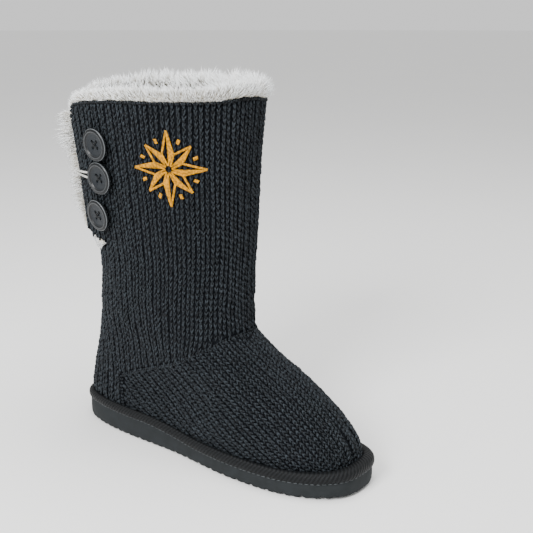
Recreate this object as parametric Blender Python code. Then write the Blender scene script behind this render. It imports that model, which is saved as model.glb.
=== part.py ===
"""A right-foot mukluk boot: knitted upper with a fur collar, a side slit closed
by three buttons, a rounded rand and a rippled foam outsole.

Millimetres, turned to metres when a mesh is made. The toe points along -Y, the
outer (lateral) side of the foot is -X, and Z is up from the floor. Distances
along the foot are measured from the back of the heel to the toe. A girth angle
runs round the boot: 0 at the heel, 90 at the lateral side, 180 at the toe and
270 at the medial side.
"""
import math

import bmesh
import bpy
from mathutils import Matrix, Vector

MM = 0.001

# Driving sizes, in millimetres
LENGTH = 270.0
BALL_WIDTH = 101.0
INSTEP_HEIGHT = 102.0
BOOT_HEIGHT = 279.0
ANKLE_LENGTH = 138.0
ANKLE_WIDTH = 93.0
COLLAR_LENGTH = 157.5
COLLAR_WIDTH = 120.0
WALL = 3.0
FIT = 0.3

# Outsole
HEEL_THICKNESS = 17.4
FOREFOOT_THICKNESS = 11.8
TOE_SPRING = 2.5
EDGE_DRAFT = 1.8
EDGE_ROUND = 4.0
RIPPLE_PITCH = 6.8
RIPPLE_CREST = 2.8
RIPPLE_DEPTH = 1.9
RIPPLE_SHALLOW = 1.1
RIPPLE_MARGIN = 4.0
GROOVE_SLOPE = 0.35
SOLE_END = 0.7
SOLE_CAP = 7.0

# Rand
RAND_HEIGHT_HEEL = 6.8
RAND_HEIGHT_TOE = 7.4
RAND_OVERHANG = 0.8
RAND_BULGE = 0.7

# Insole
INSOLE_THICKNESS = 4.0
INSOLE_END_ANGLE = 8.0

# Seam that joins the shaft panel to the vamp and heel panels
SEAM_STEP = 0.9
SEAM_SPREAD = 0.5
HEEL_SEAM_ANGLE = 54.0
HEEL_SEAM_SPREAD = 0.6

# Button flap and slit
SLIT_DEPTH = 115.0
SLIT_BACK_ANGLE = 33.5
FLAP_EDGE_ANGLE = 36.5
FLAP_APEX_ANGLE = 58.0
FLAP_HINGE_ANGLE = 78.0
FLAP_FLARE = 7.5
FLAP_NOTCH = 7.0
NOTCH_END = 1.0

# Fur
FUR_THICKNESS = 7.5
FUR_DEPTH = 28.0
FUR_RISE = 13.0
FUR_ROLL = 2.6
FUR_LOCK = 1.6
FUR_LOCKS = 42
SLIT_FUR_REACH = 7.0
SLIT_FUR_CURL = 5.5
SLIT_FUR_START = 6.0
SLIT_FUR_TUCK = 8.0
SLIT_LOCKS = 12
LINING = 1.5

# Buttons
BUTTON_DIAMETER = 25.5
BUTTON_THICKNESS = 3.6
BUTTON_RIM = 2.6
BUTTON_SINK = 1.3
HOLE_DIAMETER = 2.4
HOLE_SPACING = 5.0
HOLE_DEPTH = 2.6
SHANK_DIAMETER = 6.0
SHANK_LENGTH = 2.6
LOOP_DIAMETER = 1.7
LOOP_PINCH = 0.75
LOOP_STEPS = 6
BUTTON_SPAN = 6.0

# Outline of the sole: share of the length, then the lateral and medial half widths as shares of the ball width
OUTLINE = [
    # along, lateral, medial
    (0.00, 0.410, 0.400),
    (0.12, 0.410, 0.400),
    (0.40, 0.386, 0.385),
    (0.68, 0.475, 0.480),
    (0.88, 0.518, 0.464),
    (1.00, 0.518, 0.464),
]
BALL_ALONG = 0.68
HEEL_SQUARENESS = 0.48
TOE_SQUARENESS = 0.66

# Foot part of the upper. Rise is a share of the instep height, back and front of the length, lateral and
# medial of the ball width. Outline says how much of the sole's waist and ball shows at that level, and the
# last two columns are how square the front and back ends are (1 is an ellipse, less is squarer).
FOOT_SECTIONS = [
    # rise, back, front, lateral, medial, outline, front end, back end
    (0.137, 0.0185, 0.978, 0.436, 0.436, 1.0, 0.66, 0.49),
    (0.294, 0.0093, 0.963, 0.455, 0.453, 1.0, 0.68, 0.52),
    (0.470, 0.0167, 0.904, 0.426, 0.448, 0.9, 0.74, 0.56),
    (0.647, 0.0333, 0.808, 0.416, 0.431, 0.7, 0.80, 0.62),
    (0.824, 0.0481, 0.685, 0.411, 0.406, 0.5, 0.85, 0.70),
    (1.000, 0.0611, 0.593, 0.426, 0.431, 0.3, 0.85, 0.78),
]

# Shaft part of the upper. Rise is a share of the way from instep to rim, centre of the length. The length and
# width columns run from 0, the ankle's size, to 1, the collar's, and lateral is the lateral share of the width.
SHAFT_SECTIONS = [
    # rise, centre, length, width, lateral, outline, front end, back end
    (0.090, 0.3287, 0.13, -0.13, 0.486, 0.1, 0.85, 0.83),
    (0.215, 0.3296, 0.00, 0.00, 0.474, 0.0, 0.85, 0.85),
    (0.440, 0.3287, 0.23, 0.30, 0.476, 0.0, 0.85, 0.85),
    (0.695, 0.3259, 0.51, 0.56, 0.487, 0.0, 0.85, 0.85),
    (1.000, 0.3250, 1.00, 1.00, 0.500, 0.0, 0.85, 0.85),
]

# How far the knitted rim lies below the boot's height, as a share of the collar's length
RIM_DROP = [
    # angle, drop
    (0.0, 0.038),
    (36.0, 0.055),
    (62.0, 0.030),
    (95.0, 0.016),
    (150.0, 0.013),
    (176.0, 0.000),
    (208.0, 0.020),
    (270.0, 0.025),
    (360.0, 0.038),
]

# How high the fur stands above the rim, as a share of its usual rise
FUR_LEVEL = [
    # angle, level
    (0.0, 1.05),
    (36.0, 0.70),
    (90.0, 0.85),
    (150.0, 0.95),
    (200.0, 1.15),
    (250.0, 1.35),
    (320.0, 1.30),
    (360.0, 1.05),
]

# Height of the shaft panel's lower seam, as a share of the instep height
SEAM_HEIGHT = [
    # angle, height
    (0.0, 0.80),
    (30.0, 0.77),
    (46.0, 0.68),
    (54.0, 0.50),
    (62.0, 0.55),
    (80.0, 0.66),
    (100.0, 0.76),
    (121.0, 0.865),
    (143.0, 0.935),
    (160.0, 0.975),
    (180.0, 0.99),
]

# Buttons on the flap: girth angle, and height as a share of the slit's depth above its lower end
BUTTONS = [
    # name, angle, height
    ("button_top", 72.0, 0.70),
    ("button_middle", 71.0, 0.475),
    ("button_bottom", 64.0, 0.215),
]

# Rows of the wall between feather line, seam, slit end and rim, as shares of each stretch
ROWS_TO_SEAM = [0.0, 0.12, 0.26, 0.42, 0.60, 0.80, 1.0]
ROWS_TO_SLIT = [0.0, 0.18, 0.36, 0.54, 0.72, 0.88, 1.0]
ROWS_TO_RIM = [0.0, 0.12, 0.27, 0.43, 0.60, 0.78, 0.93, 1.0]
COLUMN_STEP = 6.6


def smooth(rows, column, x):
    """Read one column of a table at x along a curve that never overshoots its rows."""
    x = min(max(x, rows[0][0]), rows[-1][0])
    last = len(rows) - 1
    i = 0
    while i < last - 1 and x > rows[i + 1][0]:
        i += 1
    gap = [rows[k + 1][0] - rows[k][0] for k in range(last)]
    slope = [(rows[k + 1][column] - rows[k][column]) / gap[k] for k in range(last)]

    def tangent(k):
        if k == 0:
            return slope[0]
        if k == last:
            return slope[-1]
        product = slope[k - 1] * slope[k]
        return 2.0 * product / (slope[k - 1] + slope[k]) if product > 0 else 0.0

    t = (x - rows[i][0]) / gap[i]
    return ((1 + 2 * t) * (1 - t) ** 2 * rows[i][column]
            + t * (1 - t) ** 2 * gap[i] * tangent(i)
            + t * t * (3 - 2 * t) * rows[i + 1][column]
            + t * t * (t - 1) * gap[i] * tangent(i + 1))


def ease(t):
    """A smooth step from 0 to 1."""
    t = min(max(t, 0.0), 1.0)
    return t * t * (3 - 2 * t)


def lerp(a, b, t):
    return a + (b - a) * t


def place(x, along, z):
    """A point from its side distance, its distance along the foot and its height."""
    return Vector((x, LENGTH / 2 - along, z))


def along_share(angle):
    """How far along the foot a girth angle lies, 0 at the heel and 1 at the toe."""
    return (1 - math.cos(math.radians(angle))) / 2


# Sole surfaces

def spring(along):
    """Lift of the outsole towards the toe."""
    t = max(0.0, along / LENGTH - 0.80) / 0.20
    return TOE_SPRING * t * t


def wedge(along):
    """1 in the heel and 0 in the forefoot, along the wedge of the outsole."""
    return 1 - ease((along / LENGTH - 0.30) / 0.25)


def sole_top(along):
    return spring(along) + lerp(FOREFOOT_THICKNESS, HEEL_THICKNESS, wedge(along))


def rand_height(along):
    return lerp(RAND_HEIGHT_TOE, RAND_HEIGHT_HEEL, wedge(along))


def half_width(q, side):
    """Half width of the sole at a share of its length; side is -1 lateral, 1 medial."""
    column = 1 if side < 0 else 2
    end = lerp(HEEL_SQUARENESS, TOE_SQUARENESS, q)
    bow = max(0.0, 4 * q * (1 - q)) ** (end / 2)
    return smooth(OUTLINE, column, q) * BALL_WIDTH * bow


def sole_edge(angle):
    """Point of the sole's outline at a girth angle, as side distance and distance along."""
    q = along_share(angle)
    side = -1.0 if math.sin(math.radians(angle)) >= 0 else 1.0
    return side * half_width(q, side), q * LENGTH


def sole_outward(angle):
    """Level outward direction of the sole's outline, as side and along parts."""
    x0, a0 = sole_edge(angle - 1.5)
    x1, a1 = sole_edge(angle + 1.5)
    size = math.hypot(x1 - x0, a1 - a0)
    return -(a1 - a0) / size, (x1 - x0) / size


# Upper surface

def upper_sections():
    """All sections of the upper in millimetres, from the feather line to the rim."""
    rows = []
    for rise, back, front, lateral, medial, outline, front_end, back_end in FOOT_SECTIONS:
        rows.append((rise * INSTEP_HEIGHT, back * LENGTH, front * LENGTH, lateral * BALL_WIDTH,
                     medial * BALL_WIDTH, outline, front_end, back_end))
    for rise, centre, length, width, lateral, outline, front_end, back_end in SHAFT_SECTIONS:
        z = lerp(INSTEP_HEIGHT, BOOT_HEIGHT, rise)
        reach = lerp(ANKLE_LENGTH, COLLAR_LENGTH, length) / 2
        wide = lerp(ANKLE_WIDTH, COLLAR_WIDTH, width)
        rows.append((z, centre * LENGTH - reach, centre * LENGTH + reach, wide * lateral,
                     wide * (1 - lateral), outline, front_end, back_end))
    return rows


SECTIONS = upper_sections()
SLIT_BASE = BOOT_HEIGHT - SLIT_DEPTH


def bare_point(angle, z):
    """Point of the upper's outer face before the flap and the seams are raised."""
    back, front, lateral, medial, foot, front_end, back_end = [smooth(SECTIONS, k, z) for k in range(1, 8)]
    q = along_share(angle)
    turn = math.sin(math.radians(angle))
    column = 1 if turn >= 0 else 2
    shape = smooth(OUTLINE, column, q) / smooth(OUTLINE, column, BALL_ALONG)
    half = (lateral if turn >= 0 else medial) * lerp(1.0, shape, foot)
    x = -math.copysign(half * abs(turn) ** lerp(back_end, front_end, q), turn)
    return place(x, lerp(back, front, q), z)


def bare_outward(angle, z):
    """Outward direction of that face."""
    z = min(max(z, SECTIONS[0][0] + 1.0), BOOT_HEIGHT - 1.0)
    across = bare_point(angle + 1.5, z) - bare_point(angle - 1.5, z)
    up = bare_point(angle, z + 1.0) - bare_point(angle, z - 1.0)
    return across.cross(up).normalized()


def seam_height(angle):
    folded = angle % 360.0
    folded = min(folded, 360.0 - folded)
    return smooth(SEAM_HEIGHT, 1, folded) * INSTEP_HEIGHT


def rim_height(angle):
    return BOOT_HEIGHT - smooth(RIM_DROP, 1, angle % 360.0) * COLLAR_LENGTH


def flap_lift(angle, z):
    """How far the button flap stands off the shaft."""
    angle = angle % 360.0
    if angle < FLAP_EDGE_ANGLE - 0.01 or angle > FLAP_HINGE_ANGLE:
        return 0.0
    if z < SLIT_BASE + NOTCH_END / 2:
        return 0.0
    turn = (FLAP_HINGE_ANGLE - angle) / (FLAP_HINGE_ANGLE - FLAP_EDGE_ANGLE)
    rise = (z - SLIT_BASE) / SLIT_DEPTH
    open_end = lerp(ease(rise / 0.35), 1.0, ease(turn))
    return FLAP_FLARE * turn * open_end


def lifted_point(angle, z):
    """Point of the outer face with the flap standing off."""
    return bare_point(angle, z) + bare_outward(angle, z) * flap_lift(angle, z)


def lifted_outward(angle, z):
    """Outward direction there. On the flap it is read from the flap alone."""
    first, last = angle - 1.5, angle + 1.5
    low = min(max(z, SECTIONS[0][0] + 1.0), BOOT_HEIGHT - 1.0) - 1.0
    if FLAP_EDGE_ANGLE - 0.01 <= angle % 360.0 <= FLAP_HINGE_ANGLE and z >= SLIT_BASE:
        first = max(first, FLAP_EDGE_ANGLE)
        low = max(low, SLIT_BASE + NOTCH_END)
    elif angle % 360.0 < FLAP_EDGE_ANGLE:
        last = min(last, angle - angle % 360.0 + SLIT_BACK_ANGLE)
    across = lifted_point(last, low + 1.0) - lifted_point(first, low + 1.0)
    up = lifted_point(angle, low + 2.0) - lifted_point(angle, low)
    return across.cross(up).normalized()


def wall_point(angle, z, offset=0.0, step=0.0):
    """Point on the upper's outer face at a level, moved outward by the offset and by a seam's step."""
    return lifted_point(angle, z) + lifted_outward(angle, z) * (offset + step)


def in_heel_panel(angle):
    folded = min(angle % 360.0, 360.0 - angle % 360.0)
    return folded < HEEL_SEAM_ANGLE


# Mesh helpers

def material(name, colour, roughness):
    made = bpy.data.materials.new(name)
    made.use_nodes = True
    shader = made.node_tree.nodes["Principled BSDF"]
    shader.inputs["Base Color"].default_value = (*colour, 1.0)
    shader.inputs["Roughness"].default_value = roughness
    shader.inputs["Metallic"].default_value = 0.0
    return made


def add_object(name, bm, finish, smooth_angle=40.0):
    """Turn a bmesh in millimetres into a named object in metres."""
    bmesh.ops.transform(bm, matrix=Matrix.Scale(MM, 4), verts=bm.verts)
    bmesh.ops.recalc_face_normals(bm, faces=bm.faces)
    mesh = bpy.data.meshes.new(name)
    bm.to_mesh(mesh)
    bm.free()
    mesh.materials.append(finish)
    mesh.shade_smooth()
    mesh.set_sharp_from_angle(angle=math.radians(smooth_angle))
    made = bpy.data.objects.new(name, mesh)
    bpy.context.scene.collection.objects.link(made)
    return made


def loft(sections, ring=False):
    """A closed solid through sections of equally many points, capped at its ends or closed to a ring."""
    bm = bmesh.new()
    loops = [[bm.verts.new(p) for p in section] for section in sections]
    count = len(loops[0])
    pairs = list(zip(loops, loops[1:]))
    if ring:
        pairs.append((loops[-1], loops[0]))
    for a, b in pairs:
        for k in range(count):
            n = (k + 1) % count
            bm.faces.new((a[k], a[n], b[n], b[k]))
    if not ring:
        bm.faces.new(loops[0])
        bm.faces.new(reversed(loops[-1]))
    return bm


def girth_columns():
    """Girth angles of the wall's columns, with pairs at the slit and at each heel seam."""
    fixed = [0.0, SLIT_BACK_ANGLE, FLAP_EDGE_ANGLE, HEEL_SEAM_ANGLE - HEEL_SEAM_SPREAD,
             HEEL_SEAM_ANGLE + HEEL_SEAM_SPREAD, FLAP_APEX_ANGLE, FLAP_HINGE_ANGLE, 180.0,
             360.0 - HEEL_SEAM_ANGLE - HEEL_SEAM_SPREAD, 360.0 - HEEL_SEAM_ANGLE + HEEL_SEAM_SPREAD, 360.0]
    columns = []
    for a, b in zip(fixed, fixed[1:]):
        parts = max(1, round((b - a) / COLUMN_STEP))
        columns += [a + (b - a) * k / parts for k in range(parts)]
    return columns


COLUMNS = girth_columns()


# Pieces

def ripple_stations():
    """Distances along the foot where the outsole's underside changes, with the groove depth there.
    A lug lies across the middle of the sole, and the others are spaced from it."""
    per_side = int((LENGTH / 2 - RIPPLE_MARGIN - RIPPLE_CREST / 2) / RIPPLE_PITCH)
    groove = RIPPLE_PITCH - RIPPLE_CREST
    stations = [(0.0, 0.0), (SOLE_END, 0.0), (SOLE_END * 3, 0.0)]
    for k in range(-per_side, per_side + 1):
        crest = LENGTH / 2 + k * RIPPLE_PITCH - RIPPLE_CREST / 2
        stations += [(crest, 0.0), (crest + RIPPLE_CREST, 0.0)]
        if k < per_side:
            depth = RIPPLE_DEPTH if k % 2 else RIPPLE_SHALLOW
            stations.append((crest + RIPPLE_CREST + groove * GROOVE_SLOPE, depth))
            stations.append((crest + RIPPLE_PITCH - groove * GROOVE_SLOPE, depth))
    stations += [(LENGTH - SOLE_END * 3, 0.0), (LENGTH - SOLE_END, 0.0), (LENGTH, 0.0)]
    return stations


def make_outsole(finish):
    sections = []
    for along, depth in ripple_stations():
        q = along / LENGTH
        lateral = -max(half_width(q, -1), SOLE_CAP)
        medial = max(half_width(q, 1), SOLE_CAP)
        draft = EDGE_DRAFT
        floor = spring(along)
        top = sole_top(along)
        sections.append([
            place(lateral + draft, along, floor + depth),
            place(lateral, along, floor + EDGE_ROUND),
            place(lateral, along, top),
            place(medial, along, top),
            place(medial, along, floor + EDGE_ROUND),
            place(medial - draft, along, floor + depth),
        ])
    return add_object("outsole", loft(sections), finish, 30.0)


def make_rand(finish):
    sections = []
    for angle in COLUMNS:
        x, along = sole_edge(angle)
        out_x, out_along = sole_outward(angle)
        base = sole_top(along) + FIT
        high = rand_height(along)

        def outer(out, up):
            return place(x + out_x * out, along + out_along * out, base + high * up)

        def inner(up):
            return wall_point(angle, base + high * up, FIT)

        crown = (outer(RAND_OVERHANG, 1.0) + inner(1.0)) / 2
        crown.z = base + high
        sections.append([
            outer(RAND_OVERHANG, 0.0),
            outer(RAND_OVERHANG + RAND_BULGE, 0.35),
            outer(RAND_OVERHANG + RAND_BULGE * 0.4, 0.72),
            crown,
            inner(0.94),
            inner(0.5),
            inner(0.0),
        ])
    return add_object("rand", loft(sections, ring=True), finish, 50.0)


def foot_height(angle):
    """Height of the feather line, just clear of the outsole, at a girth angle."""
    start = bare_point(angle, SECTIONS[0][0])
    return sole_top(LENGTH / 2 - start.y) + FIT


def notch_height(angle):
    """How far the row above the slit's end is raised, nearly nothing where the notch ends."""
    if angle < FLAP_EDGE_ANGLE - 0.01:
        return FLAP_NOTCH
    away = abs(FLAP_APEX_ANGLE - angle) / (FLAP_APEX_ANGLE - FLAP_EDGE_ANGLE)
    return lerp(NOTCH_END, FLAP_NOTCH, min(1.0, away))


def wall_rows(angle):
    """Heights of the wall's rows at a girth angle, each with whether it is on the shaft panel."""
    seam = seam_height(angle)
    rows = [(lerp(foot_height(angle), seam - SEAM_SPREAD, t), False) for t in ROWS_TO_SEAM]
    rows += [(lerp(seam + SEAM_SPREAD, SLIT_BASE, t), True) for t in ROWS_TO_SLIT]
    rows += [(lerp(SLIT_BASE + notch_height(angle), rim_height(angle), t), True) for t in ROWS_TO_RIM]
    return rows


def cut_cell(angle, row):
    """Whether the cell that starts at this girth angle and row is part of the slit."""
    first_upper = len(ROWS_TO_SEAM) + len(ROWS_TO_SLIT)
    if abs(angle - SLIT_BACK_ANGLE) < 0.01:
        return row >= first_upper - 1
    under_flap = FLAP_EDGE_ANGLE - 0.01 < angle < FLAP_APEX_ANGLE - 0.01
    return under_flap and row == first_upper - 1


def panel_step(angle, raised):
    """How far the vamp lies below the shaft and heel panels."""
    return 0.0 if raised or in_heel_panel(angle) else -SEAM_STEP


def make_upper(finish):
    bm = bmesh.new()
    outer = []
    inner = []
    for angle in COLUMNS:
        heights = wall_rows(angle)
        steps = [panel_step(angle, raised) for z, raised in heights]
        outer.append([bm.verts.new(wall_point(angle, z, 0.0, step)) for (z, raised), step in zip(heights, steps)])
        inside = [wall_point(angle, z, -WALL, step) for (z, raised), step in zip(heights, steps)]
        inside[0].z = heights[0][0]
        inner.append([bm.verts.new(point) for point in inside])
    columns = len(outer)
    rows = len(outer[0])
    cells = [(c, r) for c in range(columns) for r in range(rows - 1) if not cut_cell(COLUMNS[c], r)]
    borders = {}
    for c, r in cells:
        n = (c + 1) % columns
        corners = ((c, r), (n, r), (n, r + 1), (c, r + 1))
        bm.faces.new([outer[i][k] for i, k in corners])
        bm.faces.new([inner[i][k] for i, k in reversed(corners)])
        for edge in zip(corners, corners[1:] + corners[:1]):
            borders.setdefault(frozenset(edge), []).append(edge)
    for uses in borders.values():
        if len(uses) == 1:
            (c0, r0), (c1, r1) = uses[0]
            bm.faces.new((outer[c1][r1], outer[c0][r0], inner[c0][r0], inner[c1][r1]))
    return add_object("upper", bm, finish, 50.0)


def make_insole(finish):
    """A board between the walls, lofted from the heel to the toe."""
    sections = []
    for angle in COLUMNS:
        if not INSOLE_END_ANGLE < angle < 180.0 - INSOLE_END_ANGLE:
            continue
        section = []
        for side_angle, up in ((angle, 0.0), (angle, 1.0), (360.0 - angle, 1.0), (360.0 - angle, 0.0)):
            level = foot_height(side_angle) + up * INSOLE_THICKNESS
            point = wall_point(side_angle, level, -WALL - SEAM_STEP - 2 * FIT)
            point.z = sole_top(LENGTH / 2 - point.y) + FIT + up * INSOLE_THICKNESS
            section.append(point)
        sections.append(section)
    return add_object("insole", loft(sections), finish, 50.0)


def fur_rise(angle):
    return FUR_RISE * smooth(FUR_LEVEL, 1, angle % 360.0)


def above_rim(angle, depth_in, up):
    """Point near the rim: depth_in from the outer face towards the inside, up above the rim."""
    z = rim_height(angle)
    if up < 0:
        return wall_point(angle, z + up, -depth_in)
    point = wall_point(angle, z, -depth_in)
    point.z += up
    return point


def make_collar_fur(finish):
    """The roll of fur, one closed band with upright locks, from the flap round to the back of the slit."""
    first = FLAP_EDGE_ANGLE + 12.0
    last = 360.0 + SLIT_BACK_ANGLE - 9.0
    lining = WALL + 2 * FIT
    sections = []
    for k in range(2 * FUR_LOCKS + 1):
        angle = lerp(first, last, k / (2 * FUR_LOCKS)) % 360.0
        tuft = FUR_LOCK if k % 2 else -FUR_LOCK
        sway = 0.45 * FUR_LOCK * math.sin(2.3 * k)
        rise = fur_rise(angle)
        sections.append([
            above_rim(angle, lining, -FUR_DEPTH),
            above_rim(angle, lining, -FUR_DEPTH * 0.4),
            above_rim(angle, lining, 2 * FIT),
            above_rim(angle, -FUR_ROLL * 0.3, 2 * FIT),
            above_rim(angle, -FUR_ROLL - tuft * 0.4, rise * 0.42 + sway),
            above_rim(angle, -FUR_ROLL * 0.4, rise * 0.84 + tuft + sway),
            above_rim(angle, lining + FUR_THICKNESS * 0.45, rise + tuft + sway),
            above_rim(angle, lining + FUR_THICKNESS * 1.05, rise * 0.62 + sway),
            above_rim(angle, lining + FUR_THICKNESS + tuft * 0.3, -FUR_DEPTH * 0.3),
            above_rim(angle, lining + FUR_THICKNESS * 0.6, -FUR_DEPTH),
        ])
    return add_object("collar_fur", loft(sections), finish, 60.0)


def make_slit_fur(finish):
    """The strip of fur behind the flap, curling out past its edge and over the edge of the back panel."""
    sections = []
    low = SLIT_BASE + FLAP_NOTCH + SLIT_FUR_START
    high = rim_height(FLAP_EDGE_ANGLE) + fur_rise(FLAP_EDGE_ANGLE) * 0.5
    behind = FLAP_EDGE_ANGLE + SLIT_FUR_TUCK
    back_clear = FIT * 2
    for k in range(2 * SLIT_LOCKS + 1):
        z = lerp(low, high, k / (2 * SLIT_LOCKS))
        tuft = FUR_LOCK if k % 2 else -FUR_LOCK * 0.6
        level = min(z, rim_height(FLAP_EDGE_ANGLE) - 0.5)
        taper = lerp(0.35, 1.0, ease(2.5 * k / (2 * SLIT_LOCKS)))
        under = -WALL - LINING - 2 * FIT
        out = bare_outward(SLIT_BACK_ANGLE, level)
        back = bare_point(SLIT_BACK_ANGLE, level)
        rearward = (back - bare_point(FLAP_EDGE_ANGLE, level)).normalized()
        lift = flap_lift(FLAP_EDGE_ANGLE, level)

        def past(distance, offset):
            return back + rearward * distance + out * offset

        reach = SLIT_FUR_REACH * taper + tuft
        ring = [
            wall_point(behind, level, under),
            wall_point(FLAP_EDGE_ANGLE, level, under),
            past(-0.6, lift + 0.4),
            past(reach * 0.25, lift + SLIT_FUR_CURL * taper + tuft * 0.5),
            past(reach * 0.75, lift + SLIT_FUR_CURL * 0.6 * taper + tuft * 0.5),
            past(reach, lift * 0.5),
            past(reach * 0.8, back_clear),
            past(-0.5, back_clear),
            past(-0.9, -1.5),
            wall_point(behind, level, under - FUR_THICKNESS * 0.7),
        ]
        for point in ring:
            point.z += z - level
        sections.append(ring)
    return add_object("slit_fur", loft(sections), finish, 60.0)


def make_slit_lining(finish):
    """Pale strip that closes the notch under the flap, from inside the shaft up behind the flap."""
    sections = []
    steps = 6
    for k in range(steps + 1):
        angle = lerp(FLAP_EDGE_ANGLE + 0.5, FLAP_APEX_ANGLE - 2.0, k / steps)
        top = SLIT_BASE + FLAP_NOTCH + 4.5
        lift = flap_lift(angle, top) - WALL - 2 * FIT
        inside = -WALL - SEAM_STEP - FIT
        levels = [(SLIT_BASE - 8.0, inside), (SLIT_BASE + 1.0, inside),
                  (lerp(SLIT_BASE, top, 0.6), max(inside, lerp(inside, lift, 0.75))), (top, max(inside, lift))]
        ring = []
        for z, offset in levels:
            ring.append(bare_point(angle, z) + bare_outward(angle, z) * offset)
        for z, offset in reversed(levels):
            ring.append(bare_point(angle, z) + bare_outward(angle, z) * (offset - LINING))
        sections.append(ring)
    return add_object("slit_lining", loft(sections), finish, 50.0)


def button_mesh(finish):
    """A four-hole button on its thread shank. Its back is at z = 0 and its face looks along +Z."""
    radius = BUTTON_DIAMETER / 2
    top = BUTTON_THICKNESS
    slope = BUTTON_RIM * 0.6
    profile = [
        (0.0, top - BUTTON_SINK),
        (radius - BUTTON_RIM - slope, top - BUTTON_SINK),
        (radius - BUTTON_RIM, top - BUTTON_SINK * 0.2),
        (radius - BUTTON_RIM * 0.5, top),
        (radius - BUTTON_RIM * 0.15, top * 0.8),
        (radius, top * 0.45),
        (radius - slope, 0.0),
        (SHANK_DIAMETER / 2, 0.0),
        (SHANK_DIAMETER / 2, -SHANK_LENGTH),
        (0.0, -SHANK_LENGTH),
    ]
    bm = bmesh.new()
    points = [bm.verts.new((r, 0.0, z)) for r, z in profile]
    for a, b in zip(points, points[1:]):
        bm.edges.new((a, b))
    bmesh.ops.spin(bm, geom=bm.verts[:] + bm.edges[:], cent=(0, 0, 0), axis=(0, 0, 1),
                   angle=2 * math.pi, steps=20, use_merge=True)
    bmesh.ops.remove_doubles(bm, verts=bm.verts, dist=0.001)
    return add_object("button_blank", bm, finish, 35.0)


def hole_cutter():
    """Four posts through the face of a button, clear of its shank's foot."""
    bm = bmesh.new()
    for sx in (-1, 1):
        for sy in (-1, 1):
            spot = Matrix.Translation((sx * HOLE_SPACING / 2, sy * HOLE_SPACING / 2, BUTTON_THICKNESS))
            bmesh.ops.create_cone(bm, cap_ends=True, segments=8, radius1=HOLE_DIAMETER / 2,
                                  radius2=HOLE_DIAMETER / 2, depth=2 * HOLE_DEPTH, matrix=spot)
    return add_object("hole_cutter", bm, material("cutter", (0.5, 0.5, 0.5), 0.5), 35.0)


def button_frame(angle, height):
    """Where a button sits: the foot of its shank on the flap, and its outward direction."""
    z = SLIT_BASE + height * SLIT_DEPTH
    across = wall_point(angle + BUTTON_SPAN, z) - wall_point(angle - BUTTON_SPAN, z)
    up = wall_point(angle, z + 5) - wall_point(angle, z - 5)
    out = across.cross(up).normalized()
    return wall_point(angle, z), out, up.normalized()


def make_buttons(finish):
    blank = button_mesh(finish)
    cutter = hole_cutter()
    cut = blank.modifiers.new("holes", "BOOLEAN")
    cut.operation = "DIFFERENCE"
    cut.object = cutter
    bpy.context.view_layer.update()
    shaped = bpy.data.meshes.new_from_object(blank.evaluated_get(bpy.context.evaluated_depsgraph_get()))
    bpy.data.objects.remove(blank)
    bpy.data.objects.remove(cutter)
    for name, angle, height in BUTTONS:
        seat, out, up = button_frame(angle, height)
        side = up.cross(out).normalized()
        level = out.cross(side)
        turn = Matrix((side, level, out)).transposed().to_4x4()
        made = bpy.data.objects.new(name, shaped)
        made.matrix_world = Matrix.Translation((seat + out * (SHANK_LENGTH + FIT)) * MM) @ turn
        bpy.context.scene.collection.objects.link(made)


def make_button_loop(finish):
    """Elastic round the shank of the middle button, its two legs running back to the flap's edge."""
    name, angle, height = BUTTONS[1]
    seat, out, up = button_frame(angle, height)
    z = SLIT_BASE + height * SLIT_DEPTH
    bend = (SHANK_DIAMETER + LOOP_DIAMETER) / 2 + FIT
    lift = LOOP_DIAMETER / 2 + FIT * 1.5
    forward = out.cross(up).normalized()
    turns = [math.radians(-90 + 180 * k / LOOP_STEPS) for k in range(LOOP_STEPS + 1)]
    around = [seat + out * lift + forward * bend * math.cos(t) + up * bend * math.sin(t) for t in turns]

    def leg(side):
        points = []
        for k in range(1, LOOP_STEPS):
            t = k / (LOOP_STEPS - 1)
            level = z + side * bend * (1 - LOOP_PINCH * t)
            points.append(wall_point(lerp(angle, FLAP_EDGE_ANGLE, t), level, lift))
        return points

    route = list(reversed(leg(-1))) + around + leg(1)
    curve = bpy.data.curves.new("button_loop", "CURVE")
    curve.dimensions = "3D"
    curve.bevel_depth = LOOP_DIAMETER / 2 * MM
    curve.bevel_resolution = 1
    curve.use_fill_caps = True
    line = curve.splines.new("POLY")
    line.points.add(len(route) - 1)
    for spot, point in zip(line.points, route):
        spot.co = (*(point * MM), 1.0)
    curve.materials.append(finish)
    made = bpy.data.objects.new("button_loop", curve)
    bpy.context.scene.collection.objects.link(made)


def main():
    for old in list(bpy.data.objects):
        bpy.data.objects.remove(old)
    foam = material("eva_foam", (0.070, 0.078, 0.085), 0.75)
    strip = material("rand_fabric", (0.022, 0.026, 0.030), 0.80)
    knit = material("knit", (0.022, 0.026, 0.031), 0.95)
    fur = material("faux_fur", (0.72, 0.74, 0.72), 0.95)
    plastic = material("button_plastic", (0.050, 0.062, 0.072), 0.30)
    elastic = material("elastic", (0.70, 0.70, 0.66), 0.80)
    make_outsole(foam)
    make_rand(strip)
    make_upper(knit)
    make_insole(fur)
    make_collar_fur(fur)
    make_slit_fur(fur)
    make_slit_lining(fur)
    make_buttons(plastic)
    make_button_loop(elastic)


main()
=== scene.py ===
"""Looks of a right-foot mukluk boot: rib-knit upper, faux-fur collar and slit, three
buttons on a flap, a twill rand and a rippled foam outsole.

Surface functions and tables are in millimetres, in the same frame as the solids:
the toe points along -Y, the lateral side is -X and Z is up from the floor. A girth
angle runs round the boot: 0 at the heel, 90 lateral, 180 at the toe, 270 medial.
"""

import math

import bmesh
import bpy
import numpy as np
from mathutils import Matrix, Vector


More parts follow.
